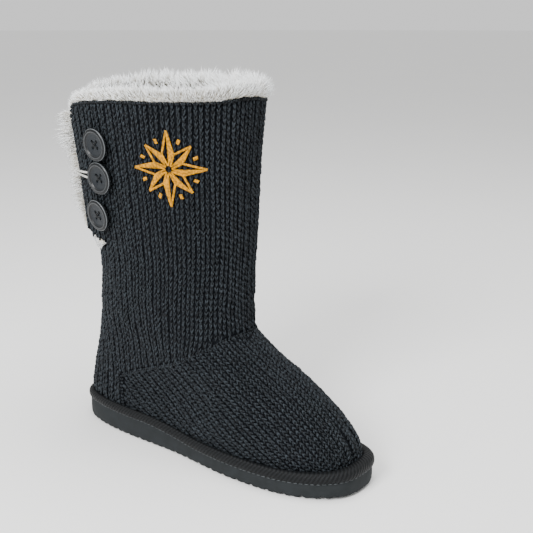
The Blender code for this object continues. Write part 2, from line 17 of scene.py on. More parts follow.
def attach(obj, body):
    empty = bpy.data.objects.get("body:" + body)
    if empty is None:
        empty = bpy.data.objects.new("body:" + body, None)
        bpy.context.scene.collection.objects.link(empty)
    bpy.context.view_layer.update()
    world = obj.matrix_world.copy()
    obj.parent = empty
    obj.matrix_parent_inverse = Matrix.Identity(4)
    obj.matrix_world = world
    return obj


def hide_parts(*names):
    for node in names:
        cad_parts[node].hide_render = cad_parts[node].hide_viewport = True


bl_info = {
    "name": "Mukluk Boot Looks",
    "version": (1, 0, 0),
    "blender": (4, 5, 0),
    "location": "View3D > Sidebar > Boot",
    "description": "Knit, fur, sole, buttons and embroidery of a mukluk boot",
    "category": "Object",
}

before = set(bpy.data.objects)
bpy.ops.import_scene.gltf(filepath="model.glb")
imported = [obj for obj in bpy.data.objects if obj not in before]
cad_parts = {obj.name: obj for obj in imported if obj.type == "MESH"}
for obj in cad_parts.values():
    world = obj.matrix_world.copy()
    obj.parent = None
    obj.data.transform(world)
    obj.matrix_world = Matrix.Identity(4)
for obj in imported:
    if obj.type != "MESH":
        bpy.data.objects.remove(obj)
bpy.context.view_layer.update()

MM = 0.001
UP = np.array((0.0, 0.0, 1.0))

# Sizes of the boot, in millimetres, the same as the solids'
LENGTH = 270.0
BALL_WIDTH = 101.0
INSTEP_HEIGHT = 102.0
BOOT_HEIGHT = 279.0
ANKLE_LENGTH = 138.0
ANKLE_WIDTH = 93.0
COLLAR_LENGTH = 157.5
COLLAR_WIDTH = 120.0
WALL = 3.0
FIT = 0.3
HEEL_THICKNESS = 17.4
FOREFOOT_THICKNESS = 11.8
TOE_SPRING = 2.5
EDGE_DRAFT = 1.8
EDGE_ROUND = 4.0
RIPPLE_PITCH = 6.8
RIPPLE_CREST = 2.8
RIPPLE_DEPTH = 1.9
RIPPLE_SHALLOW = 1.1
RIPPLE_MARGIN = 4.0
RAND_HEIGHT_HEEL = 6.8
RAND_HEIGHT_TOE = 7.4
RAND_OVERHANG = 0.8
RAND_BULGE = 0.7
INSOLE_THICKNESS = 4.0
SEAM_STEP = 0.9
SEAM_SPREAD = 0.5
HEEL_SEAM_ANGLE = 54.0
HEEL_SEAM_SPREAD = 0.6
SLIT_DEPTH = 115.0
SLIT_BACK_ANGLE = 33.5
FLAP_EDGE_ANGLE = 36.5
FLAP_APEX_ANGLE = 58.0
FLAP_HINGE_ANGLE = 78.0
FLAP_FLARE = 7.5
FLAP_NOTCH = 7.0
NOTCH_END = 1.0
FUR_THICKNESS = 7.5
FUR_RISE = 13.0
SLIT_FUR_REACH = 7.0
SLIT_FUR_CURL = 5.5
LINING = 1.5
BUTTON_DIAMETER = 25.5
BUTTON_THICKNESS = 3.6
BUTTON_SINK = 1.3
HOLE_DIAMETER = 2.4
HOLE_SPACING = 5.0
SHANK_DIAMETER = 6.0
SHANK_LENGTH = 2.6
LOOP_DIAMETER = 1.7
LOOP_PINCH = 0.75
BUTTON_SPAN = 6.0
BALL_ALONG = 0.68
HEEL_SQUARENESS = 0.48
TOE_SQUARENESS = 0.66

# Sole outline: share of the length, then lateral and medial half widths as shares of the ball width
OUTLINE = [
    (0.00, 0.410, 0.400),
    (0.12, 0.410, 0.400),
    (0.40, 0.386, 0.385),
    (0.68, 0.475, 0.480),
    (0.88, 0.518, 0.464),
    (1.00, 0.518, 0.464),
]

# Foot part of the upper: rise, back, front, lateral, medial, outline, front end, back end
FOOT_SECTIONS = [
    (0.137, 0.0185, 0.978, 0.436, 0.436, 1.0, 0.66, 0.49),
    (0.294, 0.0093, 0.963, 0.455, 0.453, 1.0, 0.68, 0.52),
    (0.470, 0.0167, 0.904, 0.426, 0.448, 0.9, 0.74, 0.56),
    (0.647, 0.0333, 0.808, 0.416, 0.431, 0.7, 0.80, 0.62),
    (0.824, 0.0481, 0.685, 0.411, 0.406, 0.5, 0.85, 0.70),
    (1.000, 0.0611, 0.593, 0.426, 0.431, 0.3, 0.85, 0.78),
]

# Shaft part of the upper: rise, centre, length, width, lateral, outline, front end, back end
SHAFT_SECTIONS = [
    (0.090, 0.3287, 0.13, -0.13, 0.486, 0.1, 0.85, 0.83),
    (0.215, 0.3296, 0.00, 0.00, 0.474, 0.0, 0.85, 0.85),
    (0.440, 0.3287, 0.23, 0.30, 0.476, 0.0, 0.85, 0.85),
    (0.695, 0.3259, 0.51, 0.56, 0.487, 0.0, 0.85, 0.85),
    (1.000, 0.3250, 1.00, 1.00, 0.500, 0.0, 0.85, 0.85),
]

# How far the knitted rim lies below the boot's height, as a share of the collar's length
RIM_DROP = [
    (0.0, 0.038), (36.0, 0.055), (62.0, 0.030), (95.0, 0.016), (150.0, 0.013),
    (176.0, 0.000), (208.0, 0.020), (270.0, 0.025), (360.0, 0.038),
]

# How far the flap's upper corner is rounded off, in degrees and millimetres
CORNER_SPAN = 14.0
CORNER_DROP = 11.0

# How high the fur stands above the rim, as a share of its usual rise
FUR_LEVEL = [
    (0.0, 1.05), (36.0, 0.70), (90.0, 0.85), (150.0, 0.95), (200.0, 1.15),
    (250.0, 1.35), (320.0, 1.30), (360.0, 1.05),
]

# Height of the shaft panel's lower seam, as a share of the instep height
SEAM_HEIGHT = [
    (0.0, 0.80), (30.0, 0.77), (46.0, 0.68), (54.0, 0.50), (62.0, 0.55), (80.0, 0.66),
    (100.0, 0.76), (121.0, 0.865), (143.0, 0.935), (160.0, 0.975), (180.0, 0.99),
]

# Buttons: node, girth angle, height as a share of the slit's depth above its lower end
BUTTONS = [
    ("button_top", 72.0, 0.70),
    ("button_middle", 71.0, 0.475),
    ("button_bottom", 64.0, 0.215),
]

# Folds of the knit: girth angle and height of both ends, then half width and depth in millimetres
CREASES = [
    (120.0, 147.0, 136.0, 137.0, 4.0, 0.55),
    (140.0, 142.0, 152.0, 120.0, 4.0, 0.75),
    (152.0, 126.0, 172.0, 115.0, 4.5, 0.70),
    (64.0, 122.0, 88.0, 115.0, 6.0, 0.55),
    (36.0, 134.0, 60.0, 126.0, 6.0, 0.60),
    (16.0, 106.0, 46.0, 96.0, 6.0, 0.60),
    (186.0, 112.0, 214.0, 124.0, 6.0, 0.90),
    (214.0, 126.0, 250.0, 140.0, 6.0, 0.80),
    (252.0, 112.0, 296.0, 126.0, 6.5, 0.80),
    (300.0, 104.0, 340.0, 116.0, 6.0, 0.70),
]

# Toe puckers: points on the foot as side, distance along and height, both ends, then half width and depth
PUCKERS = [
    (-14.0, 246.0, 46.0, -11.0, 262.0, 27.0, 2.0, 1.0),
    (-22.0, 240.0, 46.0, -20.0, 258.0, 27.0, 2.2, 0.8),
    (-4.0, 248.0, 45.0, -2.0, 264.0, 27.0, 2.4, 0.8),
    (8.0, 247.0, 45.0, 9.0, 263.0, 27.0, 2.6, 0.7),
    (-32.0, 230.0, 46.0, -32.0, 250.0, 28.0, 3.0, 0.6),
    (20.0, 240.0, 45.0, 22.0, 258.0, 27.0, 2.8, 0.7),
]


# Numbers and curves

def linear(code):
    """Linear colour of an sRGB hex code."""
    parts = [int(code[k:k + 2], 16) / 255 for k in (1, 3, 5)]
    return tuple(p / 12.92 if p <= 0.04045 else ((p + 0.055) / 1.055) ** 2.4 for p in parts)


def smooth(rows, column, x):
    """Read one column of a table at x along a curve that never overshoots its rows."""
    table = np.asarray(rows, float)
    knots, values = table[:, 0], table[:, column]
    x = np.clip(x, knots[0], knots[-1])
    i = np.clip(np.searchsorted(knots, x, side="left") - 1, 0, len(knots) - 2)
    gap = np.diff(knots)
    slope = np.diff(values) / gap
    tangent = np.empty(len(knots))
    tangent[0], tangent[-1] = slope[0], slope[-1]
    product = slope[:-1] * slope[1:]
    total = np.where(product > 0, slope[:-1] + slope[1:], 1.0)
    tangent[1:-1] = np.where(product > 0, 2 * product / total, 0.0)
    t = (x - knots[i]) / gap[i]
    return ((1 + 2 * t) * (1 - t) ** 2 * values[i] + t * (1 - t) ** 2 * gap[i] * tangent[i]
            + t * t * (3 - 2 * t) * values[i + 1] + t * t * (t - 1) * gap[i] * tangent[i + 1])


def ease(t):
    """A smooth step from 0 to 1."""
    t = np.clip(t, 0.0, 1.0)
    return t * t * (3 - 2 * t)


def lerp(a, b, t):
    return a + (b - a) * t


def unit(v):
    return v / np.maximum(np.linalg.norm(v, axis=-1, keepdims=True), 1e-9)


def joined(parts):
    """Several parts in one: their first arrays end to end, then their second ones, and so on."""
    return [np.concatenate(items) for items in zip(*parts)]


def run_along(spots):
    """Distance from the first of a row of points to each, measured along the row."""
    return np.concatenate(([0.0], np.cumsum(np.linalg.norm(np.diff(spots, axis=0), axis=1))))


def point(x, along, z):
    """Points from side distance, distance along the foot and height."""
    x, along, z = np.broadcast_arrays(x, along, z)
    return np.stack((x, LENGTH / 2 - along, z), -1).astype(float)


def foot_along(spots):
    """Distance of points from the back of the heel, along the foot."""
    return LENGTH / 2 - spots[..., 1]


def sway(a, b, seed):
    """Smooth noise from about -1 to 1 over two numbers; the same numbers always give the same value."""
    p = seed * 1.7
    return (np.sin(a * 1.00 + b * 0.63 + p) + np.sin(a * 0.57 - b * 1.31 + 2.1 * p)
            + np.sin(a * 1.73 + b * 1.17 + 3.3 * p)) / 2.4


# Surfaces of the sole and the upper

# Tangents are taken over this many degrees of girth to either side
TANGENT = 1.5
# Where the toe spring starts, and where the wedge ends and how long it runs, as shares of the length
SPRING_START = 0.80
WEDGE_START = 0.30
WEDGE_RUN = 0.25

def spring(along):
    t = np.maximum(0.0, np.asarray(along) / LENGTH - SPRING_START) / (1 - SPRING_START)
    return TOE_SPRING * t * t


def wedge(along):
    return 1 - ease((np.asarray(along) / LENGTH - WEDGE_START) / WEDGE_RUN)


def sole_top(along):
    return spring(along) + lerp(FOREFOOT_THICKNESS, HEEL_THICKNESS, wedge(along))


def rand_height(along):
    return lerp(RAND_HEIGHT_TOE, RAND_HEIGHT_HEEL, wedge(along))


def along_share(angle):
    return (1 - np.cos(np.radians(angle))) / 2


def half_width(q, side):
    """Half width of the sole at a share of its length; side is -1 lateral, 1 medial."""
    end = lerp(HEEL_SQUARENESS, TOE_SQUARENESS, q)
    bow = np.maximum(0.0, 4 * q * (1 - q)) ** (end / 2)
    width = np.where(side < 0, smooth(OUTLINE, 1, q), smooth(OUTLINE, 2, q))
    return width * BALL_WIDTH * bow


def sole_edge(angle):
    q = along_share(angle)
    side = np.where(np.sin(np.radians(angle)) >= 0, -1.0, 1.0)
    return side * half_width(q, side), q * LENGTH


def sole_outward(angle):
    x0, a0 = sole_edge(angle - TANGENT)
    x1, a1 = sole_edge(angle + TANGENT)
    size = np.hypot(x1 - x0, a1 - a0)
    return -(a1 - a0) / size, (x1 - x0) / size


def upper_sections():
    """All sections of the upper in millimetres, from the feather line to the rim."""
    rows = []
    for rise, back, front, lateral, medial, outline, front_end, back_end in FOOT_SECTIONS:
        rows.append((rise * INSTEP_HEIGHT, back * LENGTH, front * LENGTH, lateral * BALL_WIDTH,
                     medial * BALL_WIDTH, outline, front_end, back_end))
    for rise, centre, length, width, lateral, outline, front_end, back_end in SHAFT_SECTIONS:
        z = lerp(INSTEP_HEIGHT, BOOT_HEIGHT, rise)
        reach = lerp(ANKLE_LENGTH, COLLAR_LENGTH, length) / 2
        wide = lerp(ANKLE_WIDTH, COLLAR_WIDTH, width)
        rows.append((z, centre * LENGTH - reach, centre * LENGTH + reach, wide * lateral,
                     wide * (1 - lateral), outline, front_end, back_end))
    return rows


SECTIONS = upper_sections()
SLIT_BASE = BOOT_HEIGHT - SLIT_DEPTH


def bare_point(angle, z):
    """Points of the upper's outer face before the flap is raised."""
    angle, z = np.broadcast_arrays(np.asarray(angle, float), np.asarray(z, float))
    back, front, lateral, medial, foot, front_end, back_end = [smooth(SECTIONS, k, z) for k in range(1, 8)]
    q = along_share(angle)
    turn = np.sin(np.radians(angle))
    outer = turn >= 0
    shape = np.where(outer, smooth(OUTLINE, 1, q) / smooth(OUTLINE, 1, BALL_ALONG),
                     smooth(OUTLINE, 2, q) / smooth(OUTLINE, 2, BALL_ALONG))
    half = np.where(outer, lateral, medial) * lerp(1.0, shape, foot)
    x = -np.sign(turn) * half * np.abs(turn) ** lerp(back_end, front_end, q)
    return point(x, lerp(back, front, q), z)


def bare_outward(angle, z):
    z = np.clip(z, SECTIONS[0][0] + 1.0, BOOT_HEIGHT - 1.0)
    across = bare_point(angle + TANGENT, z) - bare_point(angle - TANGENT, z)
    up = bare_point(angle, z + 1.0) - bare_point(angle, z - 1.0)
    return unit(np.cross(across, up))


def fold(angle):
    """Girth angle measured from the heel on either side, 0 to 180."""
    turned = np.mod(angle, 360.0)
    return np.minimum(turned, 360.0 - turned)


def seam_height(angle):
    return smooth(SEAM_HEIGHT, 1, fold(angle)) * INSTEP_HEIGHT


def rim_height(angle):
    """Height of the knitted rim, rounded off at the flap's upper corner."""
    turned = np.mod(angle, 360.0)
    near = np.maximum(0.0, 1 - (turned - FLAP_EDGE_ANGLE) / CORNER_SPAN)
    near = np.where(turned > FLAP_EDGE_ANGLE - 0.1, near, 0.0)
    return BOOT_HEIGHT - smooth(RIM_DROP, 1, turned) * COLLAR_LENGTH - CORNER_DROP * near ** 2


def on_flap(angle, z):
    turned = np.mod(angle, 360.0)
    return (turned >= FLAP_EDGE_ANGLE - 0.01) & (turned <= FLAP_HINGE_ANGLE) & (z >= SLIT_BASE + NOTCH_END / 2)


def flap_lift(angle, z):
    """How far the button flap stands off the shaft."""
    turn = (FLAP_HINGE_ANGLE - np.mod(angle, 360.0)) / (FLAP_HINGE_ANGLE - FLAP_EDGE_ANGLE)
    rise = (z - SLIT_BASE) / SLIT_DEPTH
    lift = FLAP_FLARE * turn * lerp(ease(rise / 0.35), 1.0, ease(turn))
    return np.where(on_flap(angle, z), lift, 0.0)


def lifted_point(angle, z):
    return bare_point(angle, z) + bare_outward(angle, z) * flap_lift(angle, z)[..., None]


def lifted_outward(angle, z):
    """Outward direction there. On the flap it is read from the flap alone."""
    angle, z = np.broadcast_arrays(np.asarray(angle, float), np.asarray(z, float))
    turned = np.mod(angle, 360.0)
    first, last = angle - TANGENT, angle + TANGENT
    low = np.clip(z, SECTIONS[0][0] + 1.0, BOOT_HEIGHT - 1.0) - 1.0
    flap = (turned >= FLAP_EDGE_ANGLE - 0.01) & (turned <= FLAP_HINGE_ANGLE) & (z >= SLIT_BASE)
    first = np.where(flap, np.maximum(first, FLAP_EDGE_ANGLE + angle - turned), first)
    low = np.where(flap, np.maximum(low, SLIT_BASE + NOTCH_END), low)
    under = ~flap & (turned >= FLAP_EDGE_ANGLE - TANGENT) & (turned <= FLAP_HINGE_ANGLE)
    low = np.where(under, np.minimum(low, SLIT_BASE - 1.7), low)
    behind = ~flap & (turned <= SLIT_BACK_ANGLE) & (z >= SLIT_BASE)
    last = np.where(behind, np.minimum(last, angle - turned + SLIT_BACK_ANGLE), last)
    across = lifted_point(last, low + 1.0) - lifted_point(first, low + 1.0)
    up = lifted_point(angle, low + 2.0) - lifted_point(angle, low)
    return unit(np.cross(across, up))


def trough(spots, start, end, width, depth):
    """Depth of one soft fold at the given points: a trough with a low ridge on each side."""
    run = end - start
    t = np.clip(((spots - start) @ run) / (run @ run), 0.0, 1.0)
    away = np.linalg.norm(spots - start - t[..., None] * run, axis=-1)
    fade = np.sin(math.pi * np.clip(t, 0.08, 0.92)) ** 0.5
    groove = np.exp(-(away / width) ** 2)
    ridge = np.exp(-((away - 2.0 * width) / width) ** 2)
    return depth * fade * (0.45 * ridge - groove)


def crease(angle, z):
    """Folds and puckers of the knit, in millimetres outward."""
    spots = bare_point(angle, z)
    total = np.zeros(spots.shape[:-1])
    for a0, z0, a1, z1, width, depth in CREASES:
        total += trough(spots, bare_point(a0, z0), bare_point(a1, z1), width, depth)
    for x0, s0, z0, x1, s1, z1, width, depth in PUCKERS:
        total += trough(spots, point(x0, s0, z0), point(x1, s1, z1), width, depth)
    return total


def wall_point(angle, z, offset=0.0):
    return lifted_point(angle, z) + lifted_outward(angle, z) * np.asarray(offset)[..., None]


def knit_point(angle, z, offset=0.0):
    """Point on the knit's face, its folds included."""
    return wall_point(angle, z, np.asarray(offset) + crease(angle, z))


# Mesh helpers

def link(name, mesh):
    made = bpy.data.objects.new(name, mesh)
    bpy.context.scene.collection.objects.link(made)
    return made


def mesh_object(name, points, faces, finish, sharp=180.0):
    """A named object in metres from points in millimetres."""
    mesh = bpy.data.meshes.new(name)
    mesh.from_pydata((np.asarray(points) * MM).tolist(), [], faces)
    mesh.materials.append(finish)
    mesh.shade_smooth()
    if sharp < 180.0:
        mesh.set_sharp_from_angle(angle=math.radians(sharp))
    mesh.update()
    return link(name, mesh)


def grid_faces(rows, columns, closed_rows=False, closed_columns=False):
    """Quads of a grid whose points run row by row."""
    faces = []
    for r in range(rows if closed_rows else rows - 1):
        for c in range(columns if closed_columns else columns - 1):
            r1, c1 = (r + 1) % rows, (c + 1) % columns
            faces.append((r * columns + c, r * columns + c1, r1 * columns + c1, r1 * columns + c))
    return faces


def loft(name, sections, finish, ring=False, sharp=180.0, flip=False):
    """A closed solid through sections of equally many points, each a closed ring."""
    stack = np.asarray(sections, float)
    count, size = stack.shape[0], stack.shape[1]
    faces = grid_faces(count, size, closed_rows=ring, closed_columns=True)
    if not ring:
        faces.append(tuple(reversed(range(size))))
        faces.append(tuple(range((count - 1) * size, count * size)))
    if flip:
        faces = [tuple(reversed(face)) for face in faces]
    return mesh_object(name, stack.reshape(-1, 3), faces, finish, sharp)


def add_uv(obj, values):
    """Give each vertex's (u, v), in metres, to its corners as the map named UVMap."""
    layer = obj.data.uv_layers.new(name="UVMap")
    corners = np.empty(len(obj.data.loops), dtype=np.int32)
    obj.data.loops.foreach_get("vertex_index", corners)
    layer.data.foreach_set("uv", np.asarray(values, np.float32)[corners].ravel())


def dress(obj, slot, *nodes):
    """Put a finished piece on the boot's one body."""
    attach(obj, "root")
    if nodes:
        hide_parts(*nodes)
    return obj


def add_node(tree, kind, settings=None, inputs=None):
    """Add a node. Settings are its properties; inputs are values, or output sockets to link from."""
    made = tree.nodes.new(kind)
    for name, value in (settings or {}).items():
        setattr(made, name, value)
    for name, value in (inputs or {}).items():
        found = [s for s in made.inputs if s.identifier == name] or [made.inputs[name]]
        if isinstance(value, bpy.types.NodeSocket):
            tree.links.new(value, found[0])
        else:
            found[0].default_value = value
    return made


def new_tree(name, inputs):
    """A geometry node group with a geometry input and output and the named inputs."""
    tree = bpy.data.node_groups.new(name, "GeometryNodeTree")
    tree.interface.new_socket(name="Geometry", in_out="INPUT", socket_type="NodeSocketGeometry")
    for label, kind, value in inputs:
        made = tree.interface.new_socket(name=label, in_out="INPUT", socket_type="NodeSocket" + kind)
        if value is not None:
            made.default_value = value
    tree.interface.new_socket(name="Geometry", in_out="OUTPUT", socket_type="NodeSocketGeometry")
    return tree, tree.nodes.new("NodeGroupInput").outputs, tree.nodes.new("NodeGroupOutput")


def grow(name, holder_mesh, tree, values):
    """Run a node group on a mesh and keep the result as a plain mesh object."""
    holder = link(name + "_base", holder_mesh)
    modifier = holder.modifiers.new("grow", "NODES")
    modifier.node_group = tree
    for item in tree.interface.items_tree:
        if item.item_type == "SOCKET" and item.in_out == "INPUT" and item.name in values:
            modifier[item.identifier] = values[item.name]
    holder.update_tag()
    graph = bpy.context.evaluated_depsgraph_get()
    graph.update()
    mesh = bpy.data.meshes.new_from_object(holder.evaluated_get(graph))
    holder.modifiers.remove(modifier)
    bpy.data.objects.remove(holder)
    bpy.data.meshes.remove(holder_mesh)
    if not len(mesh.polygons):
        raise RuntimeError(f"{name} grew no faces")
    return link(name, mesh)


def vector_mesh(name, spots, faces, **vectors):
    """Points in metres with vector attributes, for a node group to build on."""
    mesh = bpy.data.meshes.new(name)
    mesh.from_pydata((np.asarray(spots).reshape(-1, 3) * MM).tolist(), [], faces)
    for label, values in vectors.items():
        layer = mesh.attributes.new(label, "FLOAT_VECTOR", "POINT")
        layer.data.foreach_set("vector", np.asarray(values, np.float32).ravel())
    return mesh


def lay_legs(name, legs, slot, values):
    """A yarn leg on each spot; legs are the spots with the lay, out and size of each."""
    tree = bpy.data.node_groups.get("yarn_legs") or stitch_group()
    spots, lay, out, size = legs
    dress(grow(name, vector_mesh(name, spots, [], lay=lay, out=out, size=size), tree, values), slot)


def lay_fur(name, sheet, comb, droop, length, slot, values):
    """Hairs on an open sheet of points in rows, with the direction and length of the hair at each."""
    tree = bpy.data.node_groups.get("fur_hairs") or fur_group()
    mesh = vector_mesh(name, sheet, grid_faces(*sheet.shape[:2]), comb=comb, droop=droop,
                       length=np.repeat(length[..., None], 3, -1))
    dress(grow(name, mesh, tree, values), slot)


# Node groups

def maths(tree, operation, *values):
    return add_node(tree, "ShaderNodeMath", {"operation": operation}, dict(enumerate(values))).outputs[0]


def vector_maths(tree, operation, *values, **named):
    inputs = {**dict(enumerate(values)), **named}
    return add_node(tree, "ShaderNodeVectorMath", {"operation": operation}, inputs).outputs[0]


def combine(tree, x, y, z):
    return add_node(tree, "ShaderNodeCombineXYZ", inputs={"X": x, "Y": y, "Z": z}).outputs[0]


def store_map(tree, shape, value):
    """Store the map named UVMap on the mesh that a node makes."""
    stored = add_node(tree, "GeometryNodeStoreNamedAttribute", {"data_type": "FLOAT2", "domain": "CORNER"}, {
        "Geometry": shape.outputs["Mesh"], "Name": "UVMap", "Value": value})
    return stored.outputs[0]


def point_vectors(tree, *labels):
    """The named vector attributes of the points."""
    return [add_node(tree, "GeometryNodeInputNamedAttribute", {"data_type": "FLOAT_VECTOR"},
                     {"Name": label}).outputs["Attribute"] for label in labels]


def random_share(tree, low, high, seed):
    return add_node(tree, "FunctionNodeRandomValue", {"data_type": "FLOAT"}, {
        "Min_001": low, "Max_001": high, "Seed": seed}).outputs[1]


def scatter(tree, given, result, points, shape, first, second_axis, second, scale):
    """Stand a shape on each point, its Z along the first vector, and give the whole its material."""
    turn = add_node(tree, "FunctionNodeAxesToRotation", {"primary_axis": "Z", "secondary_axis": second_axis}, {
        "Primary Axis": first, "Secondary Axis": second})
    placed = add_node(tree, "GeometryNodeInstanceOnPoints", inputs={
        "Points": points, "Instance": shape, "Rotation": turn.outputs[0], "Scale": scale})
    real = add_node(tree, "GeometryNodeRealizeInstances", inputs={"Geometry": placed.outputs[0]})
    soft = add_node(tree, "GeometryNodeSetShadeSmooth", inputs={"Geometry": real.outputs[0]})
    done = add_node(tree, "GeometryNodeSetMaterial", inputs={
        "Geometry": soft.outputs[0], "Material": given["Material"]})
    tree.links.new(done.outputs[0], result.inputs[0])


def stitch_group():
    """One yarn leg on each point: a slim grain along "lay", its back to "out", sized by "size"."""
    tree, given, result = new_tree("yarn_legs", [
        ("Length", "Float", 0.0045),
        ("Width", "Float", 0.0024),
        ("Depth", "Float", 0.0020),
        ("Sides", "Int", 5),
        ("Rings", "Int", 4),
        ("Size Spread", "Float", 0.08),
        ("Seed", "Int", 3),
        ("Material", "Material", None),
    ])
    grain = add_node(tree, "GeometryNodeMeshUVSphere", inputs={
        "Segments": given["Sides"], "Rings": given["Rings"], "Radius": 0.5})
    mapped = store_map(tree, grain, grain.outputs["UV Map"])
    lay, out, size = point_vectors(tree, "lay", "out", "size")
    full = combine(tree, given["Width"], given["Depth"], given["Length"])
    low = maths(tree, "SUBTRACT", 1.0, given["Size Spread"])
    high = maths(tree, "ADD", 1.0, given["Size Spread"])
    chance = random_share(tree, low, high, given["Seed"])
    scale = vector_maths(tree, "SCALE", vector_maths(tree, "MULTIPLY", full, size), Scale=chance)
    scatter(tree, given, result, given["Geometry"], mapped, lay, "Y", out, scale)
    return tree


def fur_group():
    """Tapered, bent hairs scattered on a surface, each along "comb" and leaning to "droop"."""
    tree, given, result = new_tree("fur_hairs", [
        ("Density", "Float", 1000000.0),
        ("Hair Length", "Float", 0.007),
        ("Hair Width", "Float", 0.0007),
        ("Bend", "Float", 0.25),
        ("Tilt", "Float", 0.3),
        ("Side Segments", "Int", 2),
        ("Seed", "Int", 11),
        ("Material", "Material", None),
    ])
    spots = add_node(tree, "GeometryNodeDistributePointsOnFaces", {"distribute_method": "RANDOM"}, {
        "Mesh": given["Geometry"], "Density": given["Density"], "Seed": given["Seed"]})
    hair = add_node(tree, "GeometryNodeMeshCone", {"fill_type": "NGON"}, {
        "Vertices": 3, "Side Segments": given["Side Segments"],
        "Radius Top": 0.0, "Radius Bottom": 0.5, "Depth": 1.0})
    place = add_node(tree, "GeometryNodeInputPosition").outputs[0]
    rise = add_node(tree, "ShaderNodeSeparateXYZ", inputs={0: place}).outputs["Z"]
    mapped = store_map(tree, hair, combine(tree, 0.5, rise, 0.0))
    lean = maths(tree, "MULTIPLY", maths(tree, "MULTIPLY", rise, rise), given["Bend"])
    slim = maths(tree, "DIVIDE", given["Hair Width"], given["Hair Length"])
    narrow = vector_maths(tree, "MULTIPLY", place, combine(tree, slim, slim, 1.0))
    belly = maths(tree, "SINE", maths(tree, "MULTIPLY", rise, math.pi))
    fuller = maths(tree, "MULTIPLY_ADD", belly, 0.75, 1.0)
    full = vector_maths(tree, "MULTIPLY", narrow, combine(tree, fuller, fuller, 1.0))
    bent = vector_maths(tree, "ADD", full, combine(tree, lean, 0.0, 0.0))
    shaped = add_node(tree, "GeometryNodeSetPosition", inputs={"Geometry": mapped, "Position": bent})
    comb, droop, length = point_vectors(tree, "comb", "droop", "length")
    stray = add_node(tree, "FunctionNodeRandomValue", {"data_type": "FLOAT_VECTOR"}, {
        "Min": (-1.0, -1.0, -1.0), "Max": (1.0, 1.0, 1.0), "Seed": given["Seed"]})
    strayed = vector_maths(tree, "SCALE", stray.outputs[0], Scale=maths(tree, "MULTIPLY", given["Tilt"], -1.0))
    aim = vector_maths(tree, "ADD", comb, strayed)
    sag = vector_maths(tree, "ADD", droop, strayed)
    reach = maths(tree, "MULTIPLY", given["Hair Length"], random_share(tree, 0.65, 1.2, given["Seed"]))
    scale = vector_maths(tree, "SCALE", length, Scale=reach)
    scatter(tree, given, result, spots.outputs["Points"], shaped.outputs[0], aim, "X", sag, scale)
    return tree


# Materials

def principled(name, **values):
    """A new node material. Values are the shader's own sockets, with _ for a space."""
    made = bpy.data.materials.new(name)
    made.use_nodes = True
    shader = made.node_tree.nodes["Principled BSDF"]
    for label, value in values.items():
        socket = shader.inputs[label.replace("_", " ")]
        socket.default_value = (*value, 1.0) if socket.type == "RGBA" else value
    return made, made.node_tree, shader


def material(name, **values):
    """Decorate a function that fills the named material's tree, so that the material is made once."""
    def wrap(fill):
        def build(colours):
            made = bpy.data.materials.get(name)
            if made is None:
                made, tree, shader = principled(name, **values)
                fill(tree, shader, colours)
            return made
        return build
    return wrap


def object_coordinates(tree):
    return add_node(tree, "ShaderNodeTexCoord").outputs["Object"]


def uv_map(tree):
    return add_node(tree, "ShaderNodeUVMap", {"uv_map": "UVMap"}).outputs["UV"]


def map_height(tree):
    """V of the map: it runs along a leg or a hair, and outwards on a button."""
    return add_node(tree, "ShaderNodeSeparateXYZ", inputs={0: uv_map(tree)}).outputs["Y"]


def turned(tree, where, degrees):
    return add_node(tree, "ShaderNodeMapping", inputs={
        "Vector": where, "Rotation": (0.0, 0.0, math.radians(degrees))}).outputs[0]


def noise(tree, where, scale, detail):
    return add_node(tree, "ShaderNodeTexNoise", inputs={
        "Vector": where, "Scale": scale, "Detail": detail}).outputs["Fac"]


def bands(tree, where, direction, **inputs):
    return add_node(tree, "ShaderNodeTexWave", {"wave_type": "BANDS", "bands_direction": direction},
                    {"Vector": where, **inputs}).outputs["Fac"]


def between(tree, value, low, high, curve="LINEAR"):
    """A value mapped so that low gives 0 and high gives 1."""
    return add_node(tree, "ShaderNodeMapRange", {"interpolation_type": curve}, {
        "Value": value, "From Min": low, "From Max": high}).outputs["Result"]


def blend(tree, share, dark, light):
    """A colour between two, each given as a colour or as a socket."""
    ends = [c if isinstance(c, bpy.types.NodeSocket) else (*c, 1.0) for c in (dark, light)]
    mix = add_node(tree, "ShaderNodeMix", {"data_type": "RGBA"}, {
        "Factor_Float": share, "A_Color": ends[0], "B_Color": ends[1]})
    return mix.outputs[2]


def mottle(tree, where, size, low, high, dark, light, detail=3.0):
    """A colour that wanders between dark and light in patches of the given size in metres."""
    return blend(tree, between(tree, noise(tree, where, 1.0 / size, detail), low, high), dark, light)


def paint(tree, shader, colour, height=None, strength=0.0, distance=0.0):
    """Link a shader's colour and, where a height is given, its relief; distance is in metres."""
    tree.links.new(colour, shader.inputs["Base Color"])
    if height is not None:
        bump = add_node(tree, "ShaderNodeBump", inputs={
            "Strength": strength, "Distance": distance, "Height": height})
        tree.links.new(bump.outputs[0], shader.inputs["Normal"])


